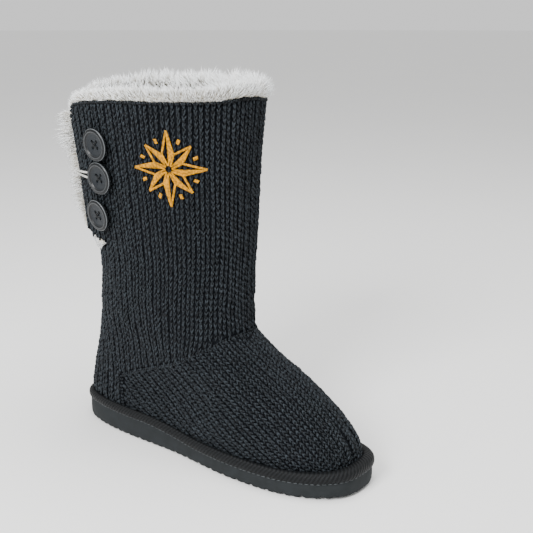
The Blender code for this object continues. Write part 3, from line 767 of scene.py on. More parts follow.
@material("black_acrylic_yarn", Roughness=0.6, Sheen_Weight=0.04, Sheen_Roughness=0.4,
          Sheen_Tint=linear("#8f98a2"), Specular_IOR_Level=0.15)
def yarn_material(tree, shader, colours):
    """Black acrylic yarn, spun and knitted: matt, with fine fibres that catch a grey sheen and twisted plies.

    A leg of a stitch is lightest on its crown and black at both ends: painted shade where it dives under the
    next one.
    """
    where = object_coordinates(tree)
    # Fibres of about 0.3 mm, drawn as tufts of 1.6 mm so that they show; the tufts wander between the yarn in
    # shade and its painted highlight
    tuft = mottle(tree, where, 0.0016, 0.38, 0.66, colours.yarn, colours.yarn_light)
    # Painted shade: towards both ends a leg darkens to a quarter of the yarn's colour
    crown = maths(tree, "SINE", maths(tree, "MULTIPLY", map_height(tree), math.pi))
    lit = between(tree, crown, 0.35, 1.0, "SMOOTHSTEP")
    colour = blend(tree, lit, [0.25 * c for c in colours.yarn], tuft)
    plies = bands(tree, turned(tree, uv_map(tree), math.degrees(0.6)), "Y", Scale=1.1, Distortion=1.0)
    height = maths(tree, "ADD", plies, noise(tree, where, 2500.0, 2.0))
    paint(tree, shader, colour, height, 0.6, 0.0003)


@material("knit_ground", Roughness=0.95, Specular_IOR_Level=0.05)
def backing_material(tree, shader, colours):
    """The knit's ground behind the stitches: the same yarn, deep in shade, with small bumps of 2.5 mm."""
    where = object_coordinates(tree)
    dark, light = [[share * c for c in colours.yarn] for share in (0.5, 1.6)]
    colour = mottle(tree, where, 0.0020, 0.35, 0.7, dark, light)
    loops = add_node(tree, "ShaderNodeTexVoronoi", inputs={"Vector": where, "Scale": 1 / 0.0025})
    paint(tree, shader, colour, loops.outputs["Distance"], 0.7, 0.0006)


@material("modacrylic_fur_pile", Roughness=0.6, Sheen_Weight=0.2, Sheen_Roughness=0.5, Specular_IOR_Level=0.35)
def fur_material(tree, shader, colours):
    """White modacrylic faux fur, brushed pile: soft bright tips over warmer, shaded roots."""
    # Locks of about 2.5 mm, three times as tall as wide, that differ a little in tone: streaks of painted shade
    # between the pile's colour and its colour in depth
    drawn = add_node(tree, "ShaderNodeMapping", inputs={
        "Vector": object_coordinates(tree), "Scale": (1.0, 1.0, 0.3)})
    tips = mottle(tree, drawn.outputs[0], 0.0025, 0.38, 0.62, colours.fur_shade, colours.fur)
    # Darker and warmer towards the root: partly the pile's own cream, partly painted shade deep in the pile
    rise = between(tree, map_height(tree), 0.1, 0.75, "SMOOTHSTEP")
    paint(tree, shader, blend(tree, rise, colours.fur_root, tips))


@material("polyester_fleece", Roughness=0.95, Specular_IOR_Level=0.1)
def fleece_material(tree, shader, colours):
    """Cream polyester fleece: the knitted back of the pile, with curls of about 2 mm."""
    where = object_coordinates(tree)
    colour = mottle(tree, where, 0.0040, 0.3, 0.7, colours.fur_root, colours.fur_shade)
    curls = add_node(tree, "ShaderNodeTexVoronoi", {"feature": "SMOOTH_F1"}, {
        "Vector": where, "Scale": 1 / 0.0020})
    paint(tree, shader, colour, curls.outputs["Distance"], 0.8, 0.0010)


@material("moulded_eva_foam", Roughness=0.75, Specular_IOR_Level=0.15)
def foam_material(tree, shader, colours):
    """Charcoal EVA foam, moulded: dull and slightly rubbery, its skin pebbled at 0.6 mm, with pale scuffs."""
    where = object_coordinates(tree)
    colour = mottle(tree, where, 0.0090, 0.3, 0.75, colours.foam, colours.foam_light, 6.0)
    paint(tree, shader, colour, noise(tree, where, 1 / 0.0006, 2.0), 0.35, 0.0002)


@material("polyester_twill_tape", Roughness=0.6, Specular_IOR_Level=0.15)
def rand_material(tree, shader, colours):
    """Black twill tape, woven polyester with a faint gloss: diagonal ridges, 2.6 mm apart so that they show,
    each with a painted highlight.
    """
    ridge = bands(tree, turned(tree, uv_map(tree), 35.0), "X", Scale=0.314 / 0.0026, Distortion=0.6, Detail=1.0)
    paint(tree, shader, blend(tree, ridge, colours.rand, colours.rand_ridge_highlight), ridge, 0.7, 0.0005)


@material("cast_polyester_resin", Roughness=0.45, Specular_IOR_Level=0.22, Coat_Weight=0.10,
          Coat_Roughness=0.10)
def button_material(tree, shader, colours):
    """Charcoal polyester resin, cast and tumbled: a satin face and a darker rim, with painted shade in the
    groove inside the rim and thin painted highlights on its crest and outer edge.

    The map's V is the distance from the button's middle, as a share of its radius.
    """
    ramp = add_node(tree, "ShaderNodeValToRGB", inputs={"Fac": map_height(tree)})
    # Place, then the shares of the face's colour and of the painted highlight's colour; the dark ring from 0.70
    # to 0.80 is painted shade in the groove
    stops = ((0.0, 1.0, 0.0), (0.66, 1.0, 0.0), (0.70, 0.25, 0.02), (0.75, 0.2, 0.0), (0.80, 0.3, 0.12),
             (0.825, 0.35, 0.0), (0.945, 0.35, 0.0), (0.965, 0.4, 0.30), (0.98, 0.4, 0.01), (1.0, 0.3, 0.0))
    for place, _, _ in stops[1:-1]:
        ramp.color_ramp.elements.new(place)
    for stop, (place, face, edge) in zip(ramp.color_ramp.elements, stops):
        stop.position = place
        stop.color = (*(face * a + edge * b for a, b in zip(colours.button, colours.button_painted_highlight)), 1.0)
    worn = noise(tree, object_coordinates(tree), 900.0, 3.0)
    paint(tree, shader, ramp.outputs["Color"], worn, 0.12, 0.0001)


def thread_material(name, colour, shine):
    """Spun polyester thread: fine twist of 0.5 mm, a soft line of light along it."""
    made, tree, shader = principled(name, Roughness=lerp(0.7, 0.38, shine),
                                    Specular_IOR_Level=lerp(0.3, 0.25, shine))
    # Patches of 1.6 mm darker and lighter: partly the thread's own tone, partly painted sheen of satin stitches
    tone = mottle(tree, object_coordinates(tree), 0.0016, 0.38, 0.62, [0.45 * c for c in colour], colour)
    paint(tree, shader, tone, bands(tree, uv_map(tree), "DIAGONAL", Scale=4.0), 0.4, 0.0001)
    return made


@material("matt_studio_paint", Roughness=0.9, Specular_IOR_Level=0.1)
def floor_material(tree, shader, colours):
    """Matt emulsion paint on a studio sweep: plain, with a roller's faint texture."""
    dim = [0.99 * c for c in colours.floor]
    paint(tree, shader, mottle(tree, object_coordinates(tree), 0.5, 0.3, 0.7, dim, colours.floor))


# Columns and stitches

# How steeply the vamp's columns run down towards the toe behind the throat
VAMP_SLOPE = 0.66
# Columns of the heel panel
HEEL_RIBS = 31
# Height of a stitch on the vamp, as a share of the shaft's
VAMP_COURSE = 0.80
# Height of a stitch of the seams and edges, and the slant of its legs
EDGE_COURSE = 2.6
EDGE_SLANT = math.radians(34.0)
# Purl columns: how deep they lie, how much more their legs slant, and their length as a share
PURL_DEPTH = 0.50
PURL_SLANT = 1.3
PURL_LENGTH = 0.92
# Slant of the legs on the vamp
VAMP_SLANT = math.radians(19.0)
# Heights at which the even spacing of the columns is tabled
RIB_LEVELS = np.linspace(12.0, 284.0, 69)
# How finely the girth is walked, and how finely its even spacing is tabled
GIRTH_STEPS = 1080
SHARE_STEPS = 289
# Height of the ankle, from which the shaft's columns run straight down
ANKLE_HOLD = 118.0


def girth_table(first, last, z):
    """Girth angles at one height, with the distance to each from the first."""
    angles = np.linspace(first, last, GIRTH_STEPS)
    return angles, run_along(bare_point(angles, z))


def even_angle(first, last, share, z):
    """Girth angle at a share of the way from first to last, measured along the knit at that height."""
    share, z = np.broadcast_arrays(np.asarray(share, float), np.asarray(z, float))
    steps = np.linspace(0.0, 1.0, SHARE_STEPS)
    table = []
    for level in RIB_LEVELS:
        angles, away = girth_table(first, last, level)
        table.append(np.interp(steps * away[-1], away, angles))
    table = np.array(table)
    row = np.clip((z - RIB_LEVELS[0]) / (RIB_LEVELS[1] - RIB_LEVELS[0]), 0, len(RIB_LEVELS) - 1.001)
    column = np.clip(share * (len(steps) - 1), 0, len(steps) - 1.001)
    r, c = row.astype(int), column.astype(int)
    u, v = row - r, column - c
    return ((1 - u) * ((1 - v) * table[r, c] + v * table[r, c + 1])
            + u * ((1 - v) * table[r + 1, c] + v * table[r + 1, c + 1]))


def rib_angle(share, z):
    """Girth angle of a shaft column: evenly spaced between the slit's edges, closed up below the slit.

    Under the ankle a column runs straight down, while the foot widens forwards.
    """
    share, z = np.broadcast_arrays(np.asarray(share, float), np.asarray(z, float))
    angle = even_angle(FLAP_EDGE_ANGLE, 360.0 + SLIT_BACK_ANGLE, share, np.maximum(z, ANKLE_HOLD))
    spread = 3.0 * ease((SLIT_BASE - z) / 40.0)
    middle = (FLAP_EDGE_ANGLE + 360.0 + SLIT_BACK_ANGLE) / 2
    angle = middle + (angle - middle) * (357.0 + spread) / 357.0
    back, front = smooth(SECTIONS, 1, z), smooth(SECTIONS, 2, z)
    start, end = smooth(SECTIONS, 1, ANKLE_HOLD), smooth(SECTIONS, 2, ANKLE_HOLD)
    along = lerp(start, end, along_share(angle))
    straight = np.degrees(np.arccos(1 - 2 * np.clip((along - back) / (front - back), 0.0, 1.0)))
    moved = straight - fold(angle)
    held = np.where(z < ANKLE_HOLD, ease((fold(angle) - 25.0) / 45.0) * ease((172.0 - fold(angle)) / 40.0), 0.0)
    return angle + np.where(np.mod(angle, 360.0) < 180.0, moved, -moved) * held


def stack_ribs(angle_at, count, low_at, high_at, course, number):
    """Stitches up each column: angle, height, a point ahead on the same column, the column and its spacing."""
    share = (np.arange(count) + 0.5) / count
    low, high = low_at(angle_at(share, 60.0)), high_at(angle_at(share, 270.0))
    for _ in range(4):
        low = (low + low_at(angle_at(share, low))) / 2
    high = high_at(angle_at(share, high))
    shares, heights, ribs = [], [], []
    for k in range(count):
        steps = max(2, round(float(high[k] - low[k]) / course))
        # Purl stitches sit half a course higher
        starts = np.arange(steps) + 0.35 + 0.5 * ((number + k) % 2)
        heights.append(low[k] + starts * (high[k] - low[k]) / steps)
        shares.append(np.full(steps, share[k]))
        ribs.append(np.full(steps, float(number + k)))
    t, z, rib = [np.concatenate(items) for items in (shares, heights, ribs)]
    angle = angle_at(t, z) + 0.30 * sway(z / 13.0, rib * 1.9, 1.0)
    ahead = angle_at(t, z + 1.0) + 0.30 * sway((z + 1.0) / 13.0, rib * 1.9, 1.0)
    across = bare_point(angle_at(t + 0.25 / count, z), z) - bare_point(angle_at(t - 0.25 / count, z), z)
    return np.stack((angle, z, ahead, z + 1.0, rib, 2 * np.linalg.norm(across, axis=1)), 1)


def shaft_lines(count, course):
    return stack_ribs(rib_angle, count, lambda angle: seam_height(angle) + 0.2,
                      lambda angle: rim_height(angle) - 0.6, course, 0)


def heel_lines(count, course):
    """Rows of stitches on the heel panel, evenly spaced between its side seams."""
    edge = HEEL_SEAM_ANGLE - HEEL_SEAM_SPREAD

    def angle_at(share, z):
        return even_angle(-edge, edge, share, z)

    def foot(angle):
        return sole_top(foot_along(bare_point(angle, 20.0))) + 2.0

    return stack_ribs(angle_at, count, foot, lambda a: seam_height(a) - 0.2, course, 500)


def seam_lines(course):
    """Rows of stitches that close the vamp against its seams, under the shaft panel and down the heel panel."""
    rows = []
    angle = np.linspace(HEEL_SEAM_ANGLE + 1.0, 359.0 - HEEL_SEAM_ANGLE, 1200)
    round_heel = np.linspace(1.0 - HEEL_SEAM_ANGLE, HEEL_SEAM_ANGLE - 1.0, 400)
    paths = [(angle, seam_height(angle) - 1.0), (round_heel, seam_height(round_heel))]
    for side in (1, -1):
        fixed = side * (HEEL_SEAM_ANGLE + 0.2)
        low = float(sole_top(foot_along(bare_point(fixed, 20.0)))) + 2.0
        z = np.linspace(low, float(seam_height(fixed)) - 1.0, 60)
        paths.append((np.full(60, fixed), z))
    for number, (angle, z) in enumerate(paths):
        run = run_along(bare_point(angle, z))
        steps = int(run[-1] / course)
        at = (np.arange(steps) + 0.5) * run[-1] / steps
        rows.append(np.stack((np.interp(at, run, angle), np.interp(at, run, z), np.interp(at + 0.8, run, angle),
                              np.interp(at + 0.8, run, z), np.full(steps, 2000 + number)), 1))
    return np.concatenate(rows)


def vamp_lines(pitch, course):
    """Stitches on the vamp: columns at even distances from its ridge, parallel to it behind the throat."""
    heights = np.linspace(SECTIONS[0][0], INSTEP_HEIGHT, 400)
    fronts = smooth(SECTIONS, 2, heights)
    throat = fronts[-1]

    def spot_at(s, z, side):
        back, front = smooth(SECTIONS, 1, z), smooth(SECTIONS, 2, z)
        q = np.clip((s - back) / (front - back), 0.0, 1.0)
        angle = np.degrees(np.arccos(1 - 2 * q))
        return angle if side > 0 else 360.0 - angle

    def girth_from_ridge(s, side):
        top = float(np.interp(-s, -fronts, heights))
        foot = float(sole_top(s)) + 1.5
        z = top - max(top - foot, 0.0) * np.linspace(0.0, 1.0, 90) ** 2
        level = (1.0, 0.0, math.cos(math.atan(VAMP_SLOPE)))
        return z, run_along(bare_point(spot_at(s, z, side), z) * level)

    lines = {}
    for side in (1, -1):
        low, girth_low = girth_from_ridge(throat + 0.1, side)
        fall = (girth_low[-1] - girth_low[-8]) / (low[-8] - low[-1])
        for s in np.concatenate((np.arange(26.0, 246.0, 1.5), np.arange(246.0, fronts[0] - 0.4, 0.35))):
            if s > throat:
                z, girth = girth_from_ridge(s, side)
                shift = 0.0
            else:
                deeper = np.arange(1.0, 130.0)
                z = np.concatenate((low, low[-1] - deeper))
                girth = np.concatenate((girth_low, girth_low[-1] + fall * deeper))
                shift = (throat - s) * VAMP_SLOPE
            foot = float(sole_top(s)) + 1.5
            for j in range(60):
                goal = (j + 0.5) * pitch
                level = float(np.interp(goal, girth, z)) + shift
                if goal > girth[-1] or not foot < level < INSTEP_HEIGHT - 0.5:
                    continue
                lines.setdefault((side, j), []).append((float(spot_at(s, level, side)), level))
    rows = []
    for (side, j), path in sorted(lines.items()):
        angle, z = np.array(path).T
        keep = (z < seam_height(angle) - 0.3) & (fold(angle) > HEEL_SEAM_ANGLE + 1.2)
        if keep.sum() < 3:
            continue
        ends = np.flatnonzero(keep)
        angle, z = angle[ends[0]:ends[-1] + 1], z[ends[0]:ends[-1] + 1]
        run = run_along(bare_point(angle, z))
        steps = int(run[-1] / course)
        if steps < 1:
            continue
        at = (np.arange(steps) + 0.25 + 0.5 * ((j + 1) % 2)) * run[-1] / steps
        behind = np.maximum(at - 0.8, 0.0)
        rows.append(np.stack((np.interp(at, run, angle), np.interp(at, run, z),
                              2 * np.interp(at, run, angle) - np.interp(behind, run, angle),
                              2 * np.interp(at, run, z) - np.interp(behind, run, z),
                              np.full(steps, 1000 + side * (j + 1))), 1))
    return np.concatenate(rows)


def knit_legs(rows, pitch, offset, slant, seed, apart=0.175, course=0.0):
    """Two slanted legs for each stitch of the rows: centres, lay, out and size.

    With a course given, every second column is a purl one, which lies deeper and has flatter legs.
    """
    angle, z, angle1, z1, number = rows.T
    purl = np.mod(number, 2.0) * (course > 0)
    offset = offset - PURL_DEPTH * purl
    slant = slant * lerp(1.0, PURL_SLANT, purl[:, None])
    centre = knit_point(angle, z, offset)
    along = unit(knit_point(angle1, z1, offset) - centre)
    out = lifted_outward(angle, z)
    across = unit(np.cross(out, along))
    out = unit(np.cross(along, across))
    # How steeply a leg dives under the next one
    dive = 0.13 if course else 0.36
    chance = np.random.default_rng(seed)
    parts = []
    for hand in (1.0, -1.0):
        jitter = chance.normal(0.0, 1.0, (len(angle), 4))
        lean = hand * np.tan(slant) + 0.14 * jitter[:, :1]
        lay = along + across * lean - out * (dive + 0.08 * jitter[:, 1:2])
        spot = centre + across * (hand * apart * pitch[:, None])
        spot = spot + out * (0.14 * jitter[:, 2:3]) + along * (0.18 * jitter[:, 3:])
        wide = pitch / 6.0
        tall = course / 2.6 * lerp(1.0, PURL_LENGTH, purl) if course else wide
        size = np.stack((0.5 + 0.5 * wide, 0.5 + 0.5 * wide, tall), 1)
        parts.append((spot, unit(lay), out, size))
    return joined(parts)


# Scene properties

def length_property(name, description, value):
    return bpy.props.FloatProperty(name=name, description=description, default=value,
                                   unit="LENGTH", subtype="DISTANCE")


class BootSizes(bpy.types.PropertyGroup):
    rib_count: bpy.props.IntProperty(
        name="Ribs", description="Columns of stitches round the shaft, plain and purl by turns",
        default=104, min=24, max=140)
    course: length_property("Course", "Height of one stitch", 0.0046)
    vamp_pitch: length_property("Vamp column spacing", "Spacing of the columns on the vamp", 0.0037)
    leg_length: length_property("Stitch leg length", "Length of one leg of a stitch", 0.0038)
    leg_width: length_property("Stitch leg width", "Width of one leg of a stitch", 0.00175)
    leg_depth: length_property("Stitch leg depth", "Thickness of one leg of a stitch", 0.0024)
    slant: bpy.props.FloatProperty(
        name="Stitch slant", description="Angle between a leg and its column", default=math.radians(12.0),
        unit="ROTATION", subtype="ANGLE")
    hair_length: length_property("Hair length", "Length of the collar's pile", 0.0078)
    hair_width: length_property("Hair width", "Thickness of a lock of hair at its root", 0.00075)
    hair_density: bpy.props.FloatProperty(
        name="Hair density", description="Hairs of the collar on each square millimetre", default=1.3)
    thread: length_property("Embroidery thread", "Width of an embroidery thread", 0.0007)


def colour_property(name, description, code):
    return bpy.props.FloatVectorProperty(name=name, description=description, subtype="COLOR", size=3,
                                         min=0.0, max=1.0, default=linear(code))


class BootColours(bpy.types.PropertyGroup):
    yarn: colour_property("Yarn", "Knitting yarn in shade", "#0e1013")
    # Painted highlight: the yarn where its fibres catch light
    yarn_light: colour_property("Yarn light", "Knitting yarn where fibres catch light", "#2f353a")
    fur: colour_property("Fur", "Fur pile", "#f6f9fb")
    # Fur shade: painted shade of the pile in its depth
    fur_shade: colour_property("Fur shade", "Fur pile in its depth", "#e0e1e0")
    # Fur root: the pile's own cream at its roots, darkened partly with painted shade
    fur_root: colour_property("Fur root", "Fur pile at its roots", "#cfc8b7")
    foam: colour_property("Foam", "Outsole foam", "#1d2021")
    foam_light: colour_property("Foam light", "Outsole foam where it is scuffed", "#25282a")
    rand: colour_property("Rand", "Rand tape between its ridges", "#060708")
    # Painted highlight: the rand tape on its ridges, where light falls
    rand_ridge_highlight: colour_property("Rand light", "Rand tape on its ridges", "#131517")
    button: colour_property("Button", "Button resin", "#12171c")
    # Painted highlight: thin lines of light along the button's rim
    button_painted_highlight: colour_property("Button edge", "Button resin where its edges are worn", "#b9bec2")
    thread: colour_property("Thread", "Sewing thread", "#101214")
    edge_thread: colour_property("Edge thread", "Thread between rand and outsole", "#4a4e51")
    elastic: colour_property("Elastic", "Elastic loop", "#d8d8d2")
    gold: colour_property("Gold thread", "Embroidery thread", "#dc9a00")
    floor: colour_property("Floor", "Studio floor", "#f4f4f3")


# Upper

WALL_COLUMN_STEP = 2.0
ROWS_TO_SEAM = 18
ROWS_TO_SLIT = 20
ROWS_TO_RIM = 24


def shell_columns(step):
    fixed = [0.0, SLIT_BACK_ANGLE, FLAP_EDGE_ANGLE, HEEL_SEAM_ANGLE - HEEL_SEAM_SPREAD,
             HEEL_SEAM_ANGLE + HEEL_SEAM_SPREAD, FLAP_APEX_ANGLE, FLAP_HINGE_ANGLE, 180.0,
             360.0 - HEEL_SEAM_ANGLE - HEEL_SEAM_SPREAD, 360.0 - HEEL_SEAM_ANGLE + HEEL_SEAM_SPREAD, 360.0]
    columns = []
    for first, last in zip(fixed, fixed[1:]):
        parts = max(1, round((last - first) / step))
        columns += [first + (last - first) * k / parts for k in range(parts)]
    return np.array(columns)


def foot_height(angle):
    """Height of the feather line, just clear of the outsole."""
    start = bare_point(angle, SECTIONS[0][0])
    return sole_top(foot_along(start)) + FIT


def notch_height(angle):
    away = np.abs(FLAP_APEX_ANGLE - angle) / (FLAP_APEX_ANGLE - FLAP_EDGE_ANGLE)
    cut = lerp(NOTCH_END, FLAP_NOTCH, np.minimum(1.0, away))
    return np.where(angle < FLAP_EDGE_ANGLE - 0.01, FLAP_NOTCH, cut)


def wall_shell(name, finish, outer, inner, step, density, rim_drop=0.0):
    """A hollow wall between two offsets from the boot's face, open at the collar, the slit and the sole."""
    columns = shell_columns(step)
    counts = [max(2, round(n * density)) for n in (ROWS_TO_SEAM, ROWS_TO_SLIT, ROWS_TO_RIM)]
    angle = columns[:, None]
    seam = seam_height(angle)
    low = foot_height(angle)
    base = SLIT_BASE + notch_height(angle)
    heights = np.concatenate((
        lerp(low, seam - SEAM_SPREAD, np.linspace(0, 1, counts[0])[None]),
        lerp(seam + SEAM_SPREAD, SLIT_BASE, np.linspace(0, 1, counts[1])[None]),
        lerp(base, rim_height(angle) - rim_drop, np.linspace(0, 1, counts[2])[None])), axis=1)
    raised = np.zeros(heights.shape, bool)
    raised[:, counts[0]:] = True
    step_down = np.where(raised | (fold(angle) < HEEL_SEAM_ANGLE), 0.0, -SEAM_STEP)
    angles = np.broadcast_to(angle, heights.shape)
    folds = crease(angles, heights)
    outside = wall_point(angles, heights, outer + step_down + folds)
    inside = wall_point(angles, heights, inner + step_down + folds)
    inside[:, 0, 2] = heights[:, 0]
    count, rows = heights.shape
    first_upper = counts[0] + counts[1]
    faces = []
    borders = {}
    total = count * rows
    for c in range(count):
        n = (c + 1) % count
        slit = abs(columns[c] - SLIT_BACK_ANGLE) < 0.01
        under = FLAP_EDGE_ANGLE - 0.01 < columns[c] < FLAP_APEX_ANGLE - 0.01
        for r in range(rows - 1):
            if (slit and r >= first_upper - 1) or (under and r == first_upper - 1):
                continue
            corners = [c * rows + r, n * rows + r, n * rows + r + 1, c * rows + r + 1]
            faces.append(tuple(corners))
            faces.append(tuple(total + k for k in reversed(corners)))
            for edge in zip(corners, corners[1:] + corners[:1]):
                key = frozenset(edge)
                borders[key] = None if key in borders else edge
    for edge in borders.values():
        if edge:
            a, b = edge
            faces.append((b, a, total + a, total + b))
    spots = np.concatenate((outside.reshape(-1, 3), inside.reshape(-1, 3)))
    return mesh_object(name, spots, faces, finish)


class BOOT_OT_upper_wall(bpy.types.Operator):
    """Knit ground behind the stitches and the fleece lining inside it"""
    bl_idname = "boot.upper_wall"
    bl_label = "Upper wall and lining"

    def execute(self, context):
        colours = context.scene.boot_colours
        wall = wall_shell("upper_wall", backing_material(colours), -1.15, -WALL, WALL_COLUMN_STEP, 0.8)
        dress(wall, "knit", "upper")
        lining = wall_shell("shaft_lining", fleece_material(colours), -WALL - 0.1, -WALL - 1.6, 4.0, 0.5, 6.0)
        dress(lining, "fleece")
        return {"FINISHED"}


def curl_legs(count, pitch):
    """Loops that turn over the rim at the top of each column, which scallops the edge."""
    share = (np.arange(count) + 0.5) / count
    angle = rib_angle(share, 270.0)
    z = rim_height(angle)
    out = lifted_outward(angle, z - 1.0)
    across = unit(wall_point(angle + 0.5, z) - wall_point(angle - 0.5, z))
    parts = []
    for hand in (1.0, -1.0):
        for depth, lift, tip, wide in ((-0.3, 0.1, 0.5, 1.25), (-1.3, 0.75, -0.1, 1.45)):
            spot = wall_point(angle, z, depth) + across * (hand * 0.20 * pitch) + UP * lift
            lay = unit(out - UP * tip + across * 0.4 * hand)
            size = np.stack((np.full(count, wide), np.full(count, 1.0), np.full(count, 0.85)), 1)
            parts.append((spot, lay, unit(UP + out * tip), size))
    chance = np.random.default_rng(17).normal(0.0, 1.0, (count, 2))
    spot = wall_point(angle, z, -1.0) + UP * (0.5 + 0.25 * chance[:, :1])
    big = 1 + 0.08 * chance[:, 1]
    size = np.stack((pitch[:, 0] * 0.42 * big, 1.25 * big, 0.9 * big), 1)
    parts.append((spot, unit(out - 0.1 * UP), UP + 0 * out, size))
    return joined(parts)


def edge_legs(angle, out_turn, low, high, course):
    """A chain of stitches down one edge of the slit."""
    steps = round((high - low) / course)
    z = low + (np.arange(steps) + 0.5) * (high - low) / steps
    middle = wall_point(angle, z, -1.5)
    along = unit(wall_point(angle, z + 1.0, -1.5) - middle)
    face = lifted_outward(angle, z)
    out = unit(np.cross(along, face)) * out_turn
    parts = []
    for hand in (1.0, -1.0):
        spot = middle + face * (hand * 0.85) + out * 0.1
        lay = unit(along + face * (0.4 * hand))
        size = np.full((steps, 3), (0.85, 0.8, 0.9))
        parts.append((spot, lay, out, size))
    return joined(parts)


class BOOT_OT_knit(bpy.types.Operator):
    """Stitches of the shaft, heel and vamp, two yarn legs each, and the stitches along the rim and slit"""
    bl_idname = "boot.knit"
    bl_label = "Knitted stitches"

    def execute(self, context):
        sizes = context.scene.boot_sizes
        yarn = yarn_material(context.scene.boot_colours)
        values = {"Length": sizes.leg_length, "Width": sizes.leg_width, "Depth": sizes.leg_depth,
                  "Material": yarn}
        course = sizes.course / MM
        rows = shaft_lines(sizes.rib_count, course)
        turned = np.mod(rows[:, 0], 360.0)
        level = rows[:, 1] - SLIT_BASE
        beside = (turned > FLAP_EDGE_ANGLE - 1) & (turned < FLAP_APEX_ANGLE + 1)
        rows = rows[~(beside & (level > -1.2) & (level < notch_height(turned) + 1.0))]
        legs = knit_legs(rows[:, :5], rows[:, 5], -0.5, sizes.slant, 5, 0.125, course)
        pieces = np.concatenate([np.mod(rows[:, 0], 360.0)] * 2)
        collar_pitch = np.array([rows[rows[:, 4] == k][-1, 5] for k in range(sizes.rib_count)])[:, None]
        for name, chosen in (("knit_shaft_lateral", (pieces > 20) & (pieces < 195)),
                             ("knit_shaft_medial", (pieces <= 20) | (pieces >= 195))):
            lay_legs(name, [part[chosen] for part in legs], "knit", values)
        rows = heel_lines(HEEL_RIBS, course)
        heel = knit_legs(rows[:, :5], rows[:, 5], -0.5, sizes.slant, 7, 0.125, course)
        rows = vamp_lines(sizes.vamp_pitch / MM, course * VAMP_COURSE)
        vamp = knit_legs(rows, np.full(len(rows), sizes.vamp_pitch / MM), -SEAM_STEP - 0.4, VAMP_SLANT, 6, 0.14,
                         course * VAMP_COURSE)
        rows = seam_lines(EDGE_COURSE)
        edge = knit_legs(rows, np.full(len(rows), 4.0), -SEAM_STEP - 0.3, EDGE_SLANT, 8)
        lay_legs("knit_vamp", joined((vamp, heel, edge)), "knit", values)
        rim = rim_height(FLAP_EDGE_ANGLE)
        edges = [curl_legs(sizes.rib_count, collar_pitch),
                 edge_legs(FLAP_EDGE_ANGLE, -1.0, SLIT_BASE + FLAP_NOTCH, rim, EDGE_COURSE),
                 edge_legs(SLIT_BACK_ANGLE, 1.0, SLIT_BASE + 2.0, rim, EDGE_COURSE)]
        lay_legs("knit_edges", joined(edges), "knit", values)
        return {"FINISHED"}


# Fur

def fur_rise(angle):
    return FUR_RISE * smooth(FUR_LEVEL, 1, np.mod(angle, 360.0))


def above_rim(angle, depth_in, up):
    """Points near the rim: depth_in from the outer face towards the inside, up above the rim."""
    z = rim_height(angle)
    spots = wall_point(angle, z + np.minimum(up, 0.0), -np.asarray(depth_in))
    spots[..., 2] += np.maximum(up, 0.0)
    return spots


def sheet_outward(grid):
    """Outward direction at each point of a sheet whose rows and columns turn that way."""
    across = np.gradient(grid, axis=1)
    down = np.gradient(grid, axis=0)
    return unit(np.cross(across, down))


def locks(grid, seed, size):
    """Smooth noise vectors over a sheet that gather its hair into locks."""
    x, y, z = np.moveaxis(grid / size, -1, 0)
    return np.stack([sway(x + 0.8 * z, y - 0.6 * z, seed + k) for k in range(3)], -1)


COLLAR_PROFILE = [
    # depth in, share of the rise or millimetres below the rim, hair length, lean towards the top
    (1.6, 0.02, 0.70, 1.6),
    (0.9, 0.07, 0.80, 1.4),
    (0.6, 0.17, 0.90, 1.2),
    (0.9, 0.30, 1.00, 1.2),
    (2.2, 0.43, 1.05, 1.4),
    (4.4, 0.47, 1.05, 1.3),
    (6.8, 0.38, 1.00, 1.1),
    (8.6, 0.20, 0.95, 0.8),
    (9.6, -1.0, 0.90, 0.6),
    (10.0, -8.0, 0.85, 0.5),
    (9.4, -17.0, 0.80, 0.3),
    (8.0, -28.0, 0.75, 0.1),
]


def collar_sheet(angles, profile):
    """Rows of points over the collar's fur at the given girth angles."""
    rows = []
    for depth, up, _, _ in profile:
        rise = fur_rise(angles) * up if up > 0 else np.full(len(angles), up)
        rows.append(above_rim(angles, np.full(len(angles), depth), rise))
    return np.stack(rows)


# Points along the slit's fur, from its lower end to the rim
SLIT_SLICES = 60


